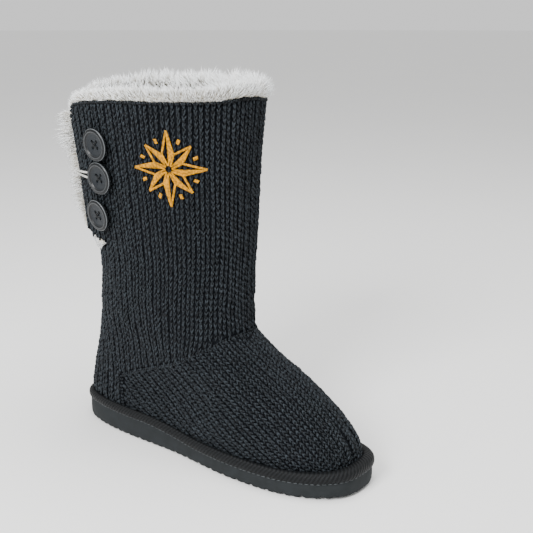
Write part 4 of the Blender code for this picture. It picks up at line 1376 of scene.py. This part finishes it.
class BOOT_OT_fur(bpy.types.Operator):
    """Fur of the collar, the slit and the lining"""
    bl_idname = "boot.fur"
    bl_label = "Fur"

    def execute(self, context):
        sizes = context.scene.boot_sizes
        colours = context.scene.boot_colours
        pile = fur_material(colours)
        fleece = fleece_material(colours)
        first = FLAP_EDGE_ANGLE + 1.5
        last = 360.0 + SLIT_BACK_ANGLE - 0.8
        angles = np.linspace(first, last, 240)
        body = collar_sheet(angles, COLLAR_PROFILE)
        back = collar_sheet(angles, [(4.0, -28.0, 1, 1), (3.6, -14.0, 1, 1), (3.6, 0.01, 1, 1)])
        ring = np.concatenate((body, back)).transpose(1, 0, 2)
        dress(loft("collar_fur_ground", ring, fleece, flip=True), "faux_fur", "collar_fur")
        lengths = np.array([row[2] for row in COLLAR_PROFILE])[:, None]
        leans = np.array([row[3] for row in COLLAR_PROFILE])[:, None, None]
        parts = 4
        for k in range(parts):
            part = np.linspace(lerp(first, last, k / parts), lerp(first, last, (k + 1) / parts), 80)
            sheet = collar_sheet(part, COLLAR_PROFILE)
            face = sheet_outward(sheet)
            comb = unit(face + leans * UP) + 0.26 * locks(sheet, 3.0, 3.4) + 0.16 * locks(sheet, 6.0, 1.6)
            droop = face - 0.7 * UP
            length = lengths * smooth(FUR_LEVEL, 1, np.mod(part, 360.0))[None] ** 1.2
            patches = 0.18 * locks(sheet, 9.0, 5.0)[..., 0] + 0.16 * locks(sheet, 4.0, 1.7)[..., 1]
            length = length * (1 + patches)
            lay_fur(f"collar_pile_{k + 1}", sheet, comb, droop, length, "faux_fur", {
                "Density": sizes.hair_density / MM ** 2, "Hair Length": sizes.hair_length,
                "Hair Width": sizes.hair_width, "Bend": 0.22, "Tilt": 0.16, "Seed": 11 + k, "Material": pile})
        self.slit(sizes, pile, fleece)
        self.lining(pile)
        return {"FINISHED"}

    def slit(self, sizes, pile, fleece):
        """The strip behind the flap that curls out past its edge."""
        low = SLIT_BASE + 9.0
        high = float(rim_height(FLAP_EDGE_ANGLE)) + 5.0
        z = np.linspace(low, high, SLIT_SLICES)
        rim = float(rim_height(FLAP_EDGE_ANGLE)) - 0.5
        level = np.minimum(z, rim)
        taper = lerp(0.45, 1.0, ease(2.5 * np.linspace(0, 1, SLIT_SLICES)))
        out = bare_outward(SLIT_BACK_ANGLE, level)
        back = bare_point(SLIT_BACK_ANGLE, level)
        rearward = unit(back - bare_point(FLAP_EDGE_ANGLE, level))
        lift = flap_lift(FLAP_EDGE_ANGLE, level)

        def past(distance, offset):
            return back + rearward * np.asarray(distance)[..., None] + out * np.asarray(offset)[..., None]

        reach = (SLIT_FUR_REACH - 2.6) * taper
        behind = FLAP_EDGE_ANGLE + 8.0
        inner = -WALL - LINING - 0.6
        rows = [
            wall_point(behind, level, inner),
            wall_point(FLAP_EDGE_ANGLE, level, inner),
            past(-0.8 + 0 * z, lift - 0.5),
            past(reach * 0.3, lift + SLIT_FUR_CURL * taper * 0.45),
            past(reach * 0.8, lift * 0.8 + SLIT_FUR_CURL * 0.25 * taper),
            past(reach, lift * 0.45 + 0.3),
            past(reach * 0.75, 0.7 + 0 * z),
            past(-0.5 + 0 * z, 0.6 + 0 * z),
            past(-0.9 + 0 * z, -1.5 + 0 * z),
            wall_point(behind, level, inner - FUR_THICKNESS * 0.6),
        ]
        for row in rows:
            row[:, 2] += z - level
        dress(loft("slit_fur_ground", np.stack(rows, 1), fleece, flip=True), "faux_fur", "slit_fur")
        sheet = rows[1:7]
        between_rows = [lerp(sheet[k], sheet[k + 1], t) for k in range(5) for t in (0.0, 0.34, 0.67)]
        fine = np.stack(between_rows + [sheet[5]], 0)
        face = sheet_outward(fine)
        centre = (rows[3] + rows[6]) / 2
        face = np.where(((fine - centre[None]) * face).sum(-1, keepdims=True) < 0, -face, face)
        comb = unit(face + rearward[None] * 0.8 + 0.2 * UP) + 0.35 * locks(fine, 5.0, 3.0)
        droop = rearward[None] * 0.6 - 0.8 * UP + 0 * fine
        length = lerp(0.75, 1.15, np.linspace(0, 1, SLIT_SLICES))[None] * taper[None]
        length = length * (1 + 0.25 * locks(fine, 2.0, 5.0)[..., 0])
        # Short where the strip still lies behind the flap
        length = length * lerp(0.3, 1.0, ease(np.arange(len(fine)) / 5.0))[:, None]
        lay_fur("slit_pile", fine, comb, droop, length, "faux_fur", {
            "Density": 1.6 * sizes.hair_density / MM ** 2, "Hair Length": 1.35 * sizes.hair_length,
            "Hair Width": sizes.hair_width, "Bend": 0.35, "Tilt": 0.3, "Seed": 31, "Material": pile})

    def lining(self, pile):
        """Shorter pile down the inside of the shaft."""
        angles = np.linspace(FLAP_EDGE_ANGLE + 1.0, 360.0 + SLIT_BACK_ANGLE - 1.0, 150)[::-1]
        share = np.linspace(0, 1, 30)[:, None]
        top = rim_height(angles)[None] - 26.0
        z = lerp(top, 60.0, share)
        sheet = wall_point(angles[None], z, -WALL - 1.3)
        face = -lifted_outward(angles[None], z)
        comb = face - 0.3 * UP + 0.5 * locks(sheet, 8.0, 4.0)
        droop = 0 * sheet - UP
        length = lerp(1.0, 0.7, np.broadcast_to(share, z.shape))
        lay_fur("lining_pile", sheet, comb, droop, length, "fleece", {
            "Density": 0.22 / MM ** 2, "Hair Length": 0.0060, "Hair Width": 0.0018,
            "Bend": 0.0, "Tilt": 0.4, "Side Segments": 1, "Seed": 41, "Material": pile})


# Sole

def ripple_profile():
    """Stations along the sole with the depth of the underside's grooves, deep and shallow by turns."""
    per_side = int((LENGTH / 2 - RIPPLE_MARGIN - RIPPLE_CREST / 2) / RIPPLE_PITCH)
    groove = RIPPLE_PITCH - RIPPLE_CREST
    stations = [(t, 0.0) for t in (0.02, 0.12, 0.35, 0.8, 1.5, 2.6)]
    for k in range(-per_side, per_side + 1):
        crest = LENGTH / 2 + k * RIPPLE_PITCH - RIPPLE_CREST / 2
        stations += [(crest + RIPPLE_CREST * t, 0.0) for t in (0.1, 0.5, 0.9)]
        if k < per_side:
            depth = RIPPLE_DEPTH if k % 2 else RIPPLE_SHALLOW
            for t in (0.12, 0.3, 0.5, 0.7, 0.88):
                stations.append((crest + RIPPLE_CREST + groove * t, depth * math.sin(math.pi * t) ** 0.6))
    stations += [(LENGTH - t, 0.0) for t in (2.6, 1.5, 0.8, 0.35, 0.12, 0.02)]
    return sorted(stations)


class BOOT_OT_sole(bpy.types.Operator):
    """Foam outsole, twill rand with its edge stitching, and the fleece insole"""
    bl_idname = "boot.sole"
    bl_label = "Sole"

    def execute(self, context):
        colours = context.scene.boot_colours
        self.outsole(colours)
        self.rand(colours)
        self.stitching(colours)
        self.insole(colours)
        return {"FINISHED"}

    def outsole(self, colours):
        sections = []
        for along, depth in ripple_profile():
            q = along / LENGTH
            floor = float(spring(along))
            top = float(sole_top(along))
            half = [float(half_width(q, side)) for side in (-1.0, 1.0)]
            tuck = min(1.0, min(half) / 9.0)
            edge = [(EDGE_DRAFT + 1.4, floor + depth), (EDGE_DRAFT + 0.1, floor + depth),
                    (EDGE_DRAFT * 0.55, floor + max(depth, 0.5)),
                    (EDGE_DRAFT * 0.2, floor + EDGE_ROUND * 0.55 + 0.2),
                    (0.05, floor + EDGE_ROUND), (0.0, lerp(floor + EDGE_ROUND, top, 0.5)), (0.1, top - 0.9),
                    (0.35, top - 0.3), (0.9, top)]
            left = [(-half[0] + inset * tuck, z) for inset, z in edge]
            right = [(half[1] - inset * tuck, z) for inset, z in edge]
            bottom = [(lerp(left[0][0], right[0][0], t), floor + depth) for t in (0.75, 0.5, 0.25)]
            top_line = [(lerp(left[-1][0], right[-1][0], t), top) for t in (0.25, 0.5, 0.75)]
            ring = left + top_line + right[::-1] + bottom
            sections.append([point(x, along, z) for x, z in ring])
        made = loft("outsole_foam", sections, foam_material(colours), sharp=50.0, flip=True)
        dress(made, "foam_sole", "outsole")

    def rand(self, colours):
        angles = np.linspace(0.0, 360.0, 361)[:-1]
        x, along = sole_edge(angles)
        out_x, out_along = sole_outward(angles)
        base = sole_top(along) + 0.15
        high = rand_height(along)

        def outer(out, up):
            return point(x + out_x * out, along + out_along * out, base + high * up)

        def inner(up):
            return wall_point(angles, base + high * up, FIT - 0.5)

        crown = (outer(RAND_OVERHANG, 1.0) + inner(1.0)) / 2
        crown[:, 2] = base + high
        # Share of the height, and how far the outer face stands past the overhang there
        bulge = [(0.0, -0.5), (0.06, 0.15), (0.20, RAND_BULGE * 0.8), (0.38, RAND_BULGE),
                 (0.56, RAND_BULGE * 0.85), (0.75, RAND_BULGE * 0.35), (0.90, -0.5)]
        rings = [outer(RAND_OVERHANG + past, up) for up, past in bulge]
        rings += [lerp(outer(RAND_OVERHANG, 1.0), crown, 0.55), crown, lerp(crown, inner(0.97), 0.55)]
        rings = np.stack(rings + [inner(up) for up in (0.90, 0.5, 0.0)])
        sections = rings.transpose(1, 0, 2)
        made = loft("rand_tape", sections, rand_material(colours), ring=True, flip=True)
        run = run_along(np.stack((x, along), 1))
        drop = np.stack([run_along(section) for section in sections])
        u = np.broadcast_to(run[:, None], (len(angles), rings.shape[0]))
        add_uv(made, np.stack((u.ravel(), drop.ravel()), 1) * MM)
        around = (run[-1] + math.hypot(x[0] - x[-1], along[0] - along[-1])) * MM
        layer = made.data.uv_layers["UVMap"]
        for face in list(made.data.polygons)[-rings.shape[0]:]:
            for corner in face.loop_indices:
                if made.data.loops[corner].vertex_index < rings.shape[0]:
                    layer.data[corner].uv.x += around
        dress(made, "rand_strip", "rand")

    def stitching(self, colours):
        """Thread that shows in short dashes where the rand meets the foam."""
        fine = np.linspace(0.0, 360.0, 2881)[:-1]
        x, along = sole_edge(fine)
        run = run_along(np.stack((x, along), 1))
        count = int(run[-1] / 4.2)
        angles = np.interp((np.arange(count) + 0.5) * run[-1] / count, run, fine)
        x, along = sole_edge(angles)
        out_x, out_along = sole_outward(angles)
        out = unit(np.stack((out_x, -out_along, 0 * x), 1))
        spots = point(x, along, sole_top(along) + 0.05) + out * (RAND_OVERHANG * 0.55)
        x1, along1 = sole_edge(angles + 0.2)
        lay = unit(point(x1, along1, sole_top(along1)) - point(x, along, sole_top(along)))
        lay_legs("rand_stitching", (spots, lay, out, np.ones((count, 3))), "rand_strip", {
            "Length": 0.0034, "Width": 0.0008, "Depth": 0.0008, "Sides": 6, "Rings": 5, "Size Spread": 0.05,
            "Seed": 8, "Material": thread_material("edge_thread", colours.edge_thread, 0.3)})

    def insole(self, colours):
        sections = []
        tops = []
        for angle in np.linspace(7.0, 173.0, 70):
            rails = []
            for side_angle in (angle, 360.0 - angle):
                level = float(foot_height(side_angle))
                rails.append((wall_point(side_angle, level + 1.0, -WALL - SEAM_STEP - 0.6),
                              wall_point(side_angle, level + INSOLE_THICKNESS, -WALL - SEAM_STEP - 0.9)))
            lower, upper = [[lerp(rails[0][k], rails[1][k], t) for t in np.linspace(0, 1, 9)] for k in (0, 1)]
            for spot in lower:
                spot[2] = float(sole_top(foot_along(spot))) + FIT
            for k, spot in enumerate(upper):
                dome = 1 - (2 * k / 8 - 1) ** 2
                spot[2] = float(sole_top(foot_along(spot))) + FIT + INSOLE_THICKNESS - 1.2 * dome
            sections.append(lower + upper[::-1])
            tops.append(upper[1:-1])
        made = loft("insole_fleece", sections, fleece_material(colours), sharp=60.0)
        dress(made, "fleece", "insole")
        sheet = np.array(tops)[::-1]
        comb = UP + 0.6 * locks(sheet, 4.0, 4.0)
        droop = np.array((0.0, -1.0, 0.0)) + 0 * sheet
        lay_fur("insole_pile", sheet, comb, droop, np.ones(sheet.shape[:2]), "fleece", {
            "Density": 0.35 / MM ** 2, "Hair Length": 0.005, "Hair Width": 0.0016, "Bend": 0.0,
            "Tilt": 0.4, "Side Segments": 1, "Seed": 51, "Material": fur_material(colours)})


# Buttons

def proud(angle, z, offset):
    """Points at the given offsets from the face before the flap is raised."""
    return bare_point(angle, z) + bare_outward(angle, z) * offset[:, None]


def button_frame(angle, height):
    """Foot of a button's shank on the flap, and its outward and UP directions."""
    z = SLIT_BASE + height * SLIT_DEPTH
    across = wall_point(angle + BUTTON_SPAN, z) - wall_point(angle - BUTTON_SPAN, z)
    up = wall_point(angle, z + 5) - wall_point(angle, z - 5)
    return wall_point(angle, z), unit(np.cross(across, up)), unit(up)


def button_blank(finish):
    """A four-hole button in millimetres, its back at z = 0, its face along +Z."""
    radius, top = BUTTON_DIAMETER / 2, BUTTON_THICKNESS
    profile = [
        (0.0, top - BUTTON_SINK - 0.35), (4.0, top - BUTTON_SINK - 0.3), (7.6, top - BUTTON_SINK - 0.05),
        (8.6, top - BUTTON_SINK), (9.2, top - BUTTON_SINK * 0.7), (9.7, top - BUTTON_SINK * 0.15), (10.1, top),
        (10.7, top + 0.05), (11.4, top - 0.05), (12.0, top - 0.35), (12.5, top * 0.72), (radius, top * 0.45),
        (12.4, top * 0.25), (11.4, 0.1), (10.4, 0.0), (SHANK_DIAMETER / 2, 0.0),
        (SHANK_DIAMETER / 2, -SHANK_LENGTH), (0.0, -SHANK_LENGTH),
    ]
    bm = bmesh.new()
    spots = [bm.verts.new((r, 0.0, z)) for r, z in profile]
    for a, b in zip(spots, spots[1:]):
        bm.edges.new((a, b))
    bmesh.ops.spin(bm, geom=bm.verts[:] + bm.edges[:], cent=(0, 0, 0), axis=(0, 0, 1), angle=2 * math.pi,
                   steps=64, use_merge=True)
    bmesh.ops.remove_doubles(bm, verts=bm.verts, dist=0.001)
    bmesh.ops.recalc_face_normals(bm, faces=bm.faces)
    mesh = bpy.data.meshes.new("button_blank")
    bm.to_mesh(mesh)
    bm.free()
    mesh.materials.append(finish)
    blank = link("button_blank", mesh)
    bm = bmesh.new()
    for sx in (-1, 1):
        for sy in (-1, 1):
            spot = Matrix.Translation((sx * HOLE_SPACING / 2, sy * HOLE_SPACING / 2, 2.4))
            bmesh.ops.create_cone(bm, cap_ends=True, segments=20, radius1=HOLE_DIAMETER / 2,
                                  radius2=HOLE_DIAMETER / 2, depth=3.4, matrix=spot)
    mesh = bpy.data.meshes.new("hole_cutter")
    bm.to_mesh(mesh)
    bm.free()
    cutter = link("hole_cutter", mesh)
    cut = blank.modifiers.new("holes", "BOOLEAN")
    cut.object = cutter
    cut.solver = "EXACT"
    soften = blank.modifiers.new("soften", "BEVEL")
    soften.width = 0.12
    soften.segments = 2
    soften.limit_method = "ANGLE"
    soften.angle_limit = math.radians(50)
    graph = bpy.context.evaluated_depsgraph_get()
    graph.update()
    shaped = bpy.data.meshes.new_from_object(blank.evaluated_get(graph))
    bpy.data.objects.remove(blank)
    bpy.data.objects.remove(cutter)
    shaped.shade_smooth()
    shaped.set_sharp_from_angle(angle=math.radians(60))
    layer = shaped.uv_layers.new(name="UVMap")
    for corner in shaped.loops:
        spot = shaped.vertices[corner.vertex_index].co
        turn = math.atan2(spot.y, spot.x) / (2 * math.pi)
        layer.data[corner.index].uv = (turn, math.hypot(spot.x, spot.y) / radius)
    return shaped


def tube(name, path, radius, finish, sides=10):
    """A round cord through a path in millimetres, closed at its ends."""
    path = np.asarray(path, float)
    ahead = unit(np.gradient(path, axis=0))
    side = unit(np.cross(ahead[0], (0.3, 0.5, 0.81)))
    rings = []
    for k in range(len(path)):
        side = unit(side - ahead[k] * (side @ ahead[k]))
        up = np.cross(ahead[k], side)
        turn = np.linspace(0, 2 * math.pi, sides, endpoint=False)
        rings.append(path[k] + radius * (np.cos(turn)[:, None] * side + np.sin(turn)[:, None] * up))
    made = loft(name, rings, finish)
    run = run_along(path)
    u = np.broadcast_to(np.linspace(0, 1, sides), (len(path), sides))
    v = np.broadcast_to((run / (2 * math.pi * radius))[:, None], u.shape)
    add_uv(made, np.stack((u.ravel(), v.ravel()), 1))
    return made


class BOOT_OT_buttons(bpy.types.Operator):
    """Three buttons with their thread, the elastic loop, and the pale facing at the end of the slit"""
    bl_idname = "boot.buttons"
    bl_label = "Buttons and loop"

    def execute(self, context):
        colours = context.scene.boot_colours
        blank = button_blank(button_material(colours))
        thread = thread_material("sewing_thread", colours.thread, 0.3)
        for name, angle, height in BUTTONS:
            seat, out, up = button_frame(angle, height)
            side = unit(np.cross(up, out))
            level = np.cross(out, side)
            turn = Matrix((side, level, out)).transposed().to_4x4()
            mesh = blank.copy()
            back = seat + out * (SHANK_LENGTH + FIT)
            mesh.transform(Matrix.Translation(Vector(back) * MM) @ turn @ Matrix.Scale(MM, 4))
            mesh.name = name + "_resin"
            dress(link(name + "_resin", mesh), "button", name)
            strands = []
            for sx in (-1, 1):
                t = np.linspace(0, math.pi, 13)
                y = -np.cos(t) * HOLE_SPACING / 2
                z = BUTTON_THICKNESS - BUTTON_SINK - 1.0 + 1.15 * np.sin(t) ** 0.6
                for shift in (-0.3, 0.3):
                    strands.append(np.stack((-sx * y + shift, y, z + (0.25 + 0.25 * sx) * np.sin(t)), 1))
            for k, strand in enumerate(strands):
                spots = back + strand @ np.stack((side, level, out))
                dress(tube(f"{name}_thread_{k + 1}", spots, 0.26, thread, 8), "button")
        self.loop(colours)
        self.facing(colours)
        self.tongue(context.scene.boot_sizes, colours)
        return {"FINISHED"}

    def loop(self, colours):
        _, angle, height = BUTTONS[1]
        seat, out, up = button_frame(angle, height)
        z = SLIT_BASE + height * SLIT_DEPTH
        bend = (SHANK_DIAMETER + LOOP_DIAMETER) / 2 + FIT
        lift = LOOP_DIAMETER / 2 + FIT * 1.5 + 0.4
        forward = unit(np.cross(out, up))
        turns = np.radians(np.linspace(-90, 90, 17))[:, None]
        around = seat + out * lift + forward * bend * np.cos(turns) + up * bend * np.sin(turns)
        t = np.linspace(0.06, 1.0, 18)

        def leg(side):
            level = z + side * bend * (1 - LOOP_PINCH * t ** 0.45)
            return wall_point(lerp(angle, FLAP_EDGE_ANGLE, t), level, lift)

        route = np.concatenate((leg(-1)[::-1], around, leg(1)))
        cord = thread_material("elastic_cord", colours.elastic, 0.2)
        dress(tube("button_loop_elastic", route, LOOP_DIAMETER / 2, cord), "elastic", "button_loop")

    def facing(self, colours):
        """Fleece facing that closes the notch under the flap."""
        angles = np.linspace(FLAP_EDGE_ANGLE + 0.5, FLAP_APEX_ANGLE - 2.0, 22)
        top = SLIT_BASE + FLAP_NOTCH + 4.5
        lift = flap_lift(angles, top) - WALL - 2 * FIT
        inside = -WALL - SEAM_STEP - FIT
        middle = np.maximum(inside, lerp(inside, lift, 0.75))
        raised = np.maximum(inside, lift)
        levels = [(SLIT_BASE + step, inside + 0 * lift) for step in (-8.0, -3.0, 1.0)]
        levels += [(lerp(SLIT_BASE, top, 0.35), lerp(inside, middle, 0.5)), (lerp(SLIT_BASE, top, 0.6), middle),
                   (lerp(SLIT_BASE, top, 0.8), lerp(middle, raised, 0.6)), (top, raised)]
        front = [proud(angles, h, o) for h, o in levels]
        behind = [proud(angles, h, o - LINING) for h, o in reversed(levels)]
        made = loft("slit_facing", np.stack(front + behind, 1), fleece_material(colours), flip=True)
        dress(made, "fleece", "slit_lining")

    def tongue(self, sizes, colours):
        """The facing's lower end, which laps out under the flap as a small pale wedge."""
        angles = np.linspace(FLAP_EDGE_ANGLE + 0.3, FLAP_APEX_ANGLE + 0.5, 26)
        t = np.linspace(0.0, 1.0, 26)
        notch = notch_height(angles)
        under = flap_lift(angles, SLIT_BASE + FLAP_NOTCH + 0.2) - WALL - 0.3
        low = SLIT_BASE - 0.2 - 4.0 * np.sin(math.pi * t ** 1.4) ** 0.8
        levels = [(low, 1.3 + 0 * t), (low + 0.9, 1.9 + 0 * t), (SLIT_BASE + 0.35 * notch, 2.2 + 0 * t),
                  (SLIT_BASE + 0.8 * notch, np.minimum(under, 2.4)), (SLIT_BASE + notch + 1.5, under)]
        front = [proud(angles, h, o) for h, o in levels]
        behind = [proud(angles, h, o - 1.1) for h, o in reversed(levels)]
        made = loft("slit_tongue_fleece", np.stack(front + behind, 1), fleece_material(colours), flip=True)
        dress(made, "fleece")
        sheet = np.stack(front[:4])
        comb = bare_outward(angles, SLIT_BASE)[None] - 1.1 * UP + 0.3 * locks(sheet, 7.0, 3.0)
        droop = 0 * sheet - UP
        lay_fur("slit_tongue_pile", sheet, comb, droop, np.ones(sheet.shape[:2]), "faux_fur", {
            "Density": 4.0 / MM ** 2, "Hair Length": 0.0026, "Hair Width": sizes.hair_width, "Bend": 0.1,
            "Tilt": 0.2, "Seed": 61, "Material": fur_material(colours)})


# Embroidery

STAR_RADIUS = 28.0
STAR_WAIST = 11.5
STAR_ANGLE = 122.0
STAR_HEIGHT = 230.0
# Spacing of the stitches as a share of the thread: in the outlines and in the filled halves
OUTLINE_PITCH = 0.62
FILL_PITCH = 0.66


def star_strands(thread):
    """Satin stitches of an eight-point star: the middle, direction and length of each, in the star's plane."""
    strands = []

    def satin(a, b, width):
        """A bar of stitches set across the line from a to b."""
        run = b - a
        size = np.hypot(*run)
        along = run / size
        across = np.array((-along[1], along[0]))
        for k in range(int(size / (thread * OUTLINE_PITCH))):
            strands.append((a + along * (k + 0.5) * thread * OUTLINE_PITCH, across + along * 0.25, width))

    for k in range(8):
        turn = math.radians(45.0 * k + 90.0)
        reach = STAR_RADIUS if k % 2 == 0 else STAR_RADIUS * 0.86
        tip = reach * np.array((math.cos(turn), math.sin(turn)))
        sides = [STAR_WAIST * np.array((math.cos(turn + s), math.sin(turn + s)))
                 for s in (math.radians(22.5), -math.radians(22.5))]
        heart = 2.2 * np.array((math.cos(turn), math.sin(turn)))
        satin(tip, sides[0], 1.5)
        satin(sides[0], heart, 1.5)
        satin(tip, sides[1], 1.5)
        inner, outer = np.hypot(*(sides[1] - heart)), np.hypot(*(tip - sides[1]))
        split = inner / (inner + outer)
        steps = int(np.hypot(*(tip - heart)) / (thread * FILL_PITCH))
        for n in range(steps):
            t = (n + 0.5) / steps
            spine = lerp(heart, tip, t)
            if t < split:
                rim = lerp(heart, sides[1], t / split)
            else:
                rim = lerp(sides[1], tip, (t - split) / (1 - split))
            width = np.hypot(*(rim - spine))
            if width > 0.5:
                strands.append(((spine + rim) / 2, (rim - spine) / width, width))
    for k in range(8):
        turn = math.radians(45.0 * k + 67.5)
        out = np.array((math.cos(turn), math.sin(turn)))
        satin(out * 20.0, out * 23.6, 2.4)
    return strands


class BOOT_OT_embroidery(bpy.types.Operator):
    """A gold eight-point star worked in satin stitch on the shaft"""
    bl_idname = "boot.embroidery"
    bl_label = "Embroidered star"

    def execute(self, context):
        sizes = context.scene.boot_sizes
        colours = context.scene.boot_colours
        thread = sizes.thread / MM
        strands = star_strands(thread)
        spots, turns, widths = [np.array(items) for items in zip(*strands)]
        fine = np.linspace(STAR_ANGLE - 50, STAR_ANGLE + 50, 800)
        girth = bare_point(fine, STAR_HEIGHT)
        run = run_along(girth)
        run -= np.interp(STAR_ANGLE, fine, run)

        def on_boot(flat, offset):
            angle = np.interp(flat[:, 0], run, fine)
            return knit_point(angle, STAR_HEIGHT + flat[:, 1], offset), angle

        centres, angle = on_boot(spots, 0.75)
        ends, _ = on_boot(spots + turns, 0.75)
        out = lifted_outward(angle, STAR_HEIGHT + spots[:, 1])
        lay = unit(ends - centres)
        size = np.stack((np.ones(len(widths)), np.ones(len(widths)), widths + 0.5), 1)
        lay_legs("embroidered_star", (centres, lay, out, size), "knit", {
            "Length": MM, "Width": sizes.thread, "Depth": sizes.thread * 1.4, "Sides": 4, "Rings": 4,
            "Size Spread": 0.06, "Seed": 21,
            "Material": thread_material("gold_rayon_thread", colours.gold, 0.8)})
        return {"FINISHED"}


# Stage

FLOOR_SIDES = 96
FLOOR_RADII = (0.5e3, 2e3, 8e3, 30e3)
SKY_STRENGTH = 0.95
LENS_LENGTH = 62.79
CAMERA_PLACE = (-0.5370, -0.4490, 0.33435)
CAMERA_PITCH = 75.116
CAMERA_TURN = -53.09
# Point that all lights face, in metres
LIGHT_TARGET = (0.0, 0.0, 0.14)
# Lights: name, place in metres, side in metres and power in watts
LIGHTS = [
    ("key_light", (-1.27, -0.12, 1.00), 0.6, 31.0),
    ("front_light", (-0.70, -1.25, 0.80), 0.7, 1.5),
    ("top_light", (0.00, -0.25, 1.6), 1.2, 23.0),
]


class BOOT_OT_stage(bpy.types.Operator):
    """Pale floor, soft studio light, and the camera"""
    bl_idname = "boot.stage"
    bl_label = "Stage"

    def execute(self, context):
        colours = context.scene.boot_colours
        turn = np.linspace(0, 2 * math.pi, FLOOR_SIDES, endpoint=False)
        rings = [np.stack((r * np.cos(turn), r * np.sin(turn), 0 * turn), 1) for r in FLOOR_RADII]
        spots = np.concatenate([np.zeros((1, 3))] + rings)
        faces = [(0, 1 + k, 1 + (k + 1) % FLOOR_SIDES) for k in range(FLOOR_SIDES)]
        for r in range(len(rings) - 1):
            for k in range(FLOOR_SIDES):
                a = 1 + r * FLOOR_SIDES + k
                b = 1 + r * FLOOR_SIDES + (k + 1) % FLOOR_SIDES
                faces.append((a, a + FLOOR_SIDES, b + FLOOR_SIDES, b))
        mesh_object("studio_floor", spots, faces, floor_material(colours))
        for name, place, size, power in LIGHTS:
            self.light(name, place, size, power)
        world = bpy.data.worlds.new("studio_white")
        world.use_nodes = True
        sky = world.node_tree.nodes["Background"].inputs
        sky["Color"].default_value = (1.0, 1.0, 1.0, 1.0)
        sky["Strength"].default_value = SKY_STRENGTH
        context.scene.world = world
        lens = bpy.data.cameras.new("camera")
        lens.sensor_width = 36.0
        lens.sensor_fit = "HORIZONTAL"
        lens.lens = LENS_LENGTH
        camera = bpy.data.objects.new("camera", lens)
        camera.location = CAMERA_PLACE
        camera.rotation_euler = (math.radians(CAMERA_PITCH), 0.0, math.radians(CAMERA_TURN))
        context.scene.collection.objects.link(camera)
        context.scene.camera = camera
        return {"FINISHED"}

    def light(self, name, place, size, power):
        data = bpy.data.lights.new(name, "AREA")
        data.shape = "SQUARE"
        data.size = size
        data.energy = power
        lamp = bpy.data.objects.new(name, data)
        lamp.location = place
        lamp.rotation_euler = (Vector(LIGHT_TARGET) - Vector(place)).to_track_quat("-Z", "Y").to_euler()
        bpy.context.scene.collection.objects.link(lamp)


class BOOT_PT_panel(bpy.types.Panel):
    """Lists the boot's pieces, sizes and colours"""
    bl_label = "Mukluk Boot"
    bl_idname = "BOOT_PT_panel"
    bl_space_type = "VIEW_3D"
    bl_region_type = "UI"
    bl_category = "Boot"

    def draw(self, context):
        for operator in OPERATORS:
            self.layout.operator(operator.bl_idname)
        for group in (context.scene.boot_sizes, context.scene.boot_colours):
            for label in group.__annotations__:
                self.layout.prop(group, label)


OPERATORS = (BOOT_OT_upper_wall, BOOT_OT_knit, BOOT_OT_fur, BOOT_OT_sole, BOOT_OT_buttons, BOOT_OT_embroidery,
             BOOT_OT_stage)
CLASSES = (BootSizes, BootColours) + OPERATORS + (BOOT_PT_panel,)


def register():
    for made in CLASSES:
        bpy.utils.register_class(made)
    bpy.types.Scene.boot_sizes = bpy.props.PointerProperty(type=BootSizes)
    bpy.types.Scene.boot_colours = bpy.props.PointerProperty(type=BootColours)


def unregister():
    del bpy.types.Scene.boot_sizes
    del bpy.types.Scene.boot_colours
    for made in reversed(CLASSES):
        bpy.utils.unregister_class(made)


def main():
    register()
    bpy.ops.boot.stage()
    bpy.ops.boot.upper_wall()
    bpy.ops.boot.knit()
    bpy.ops.boot.fur()
    bpy.ops.boot.sole()
    bpy.ops.boot.buttons()
    bpy.ops.boot.embroidery()


if __name__ == "__main__":
    main()
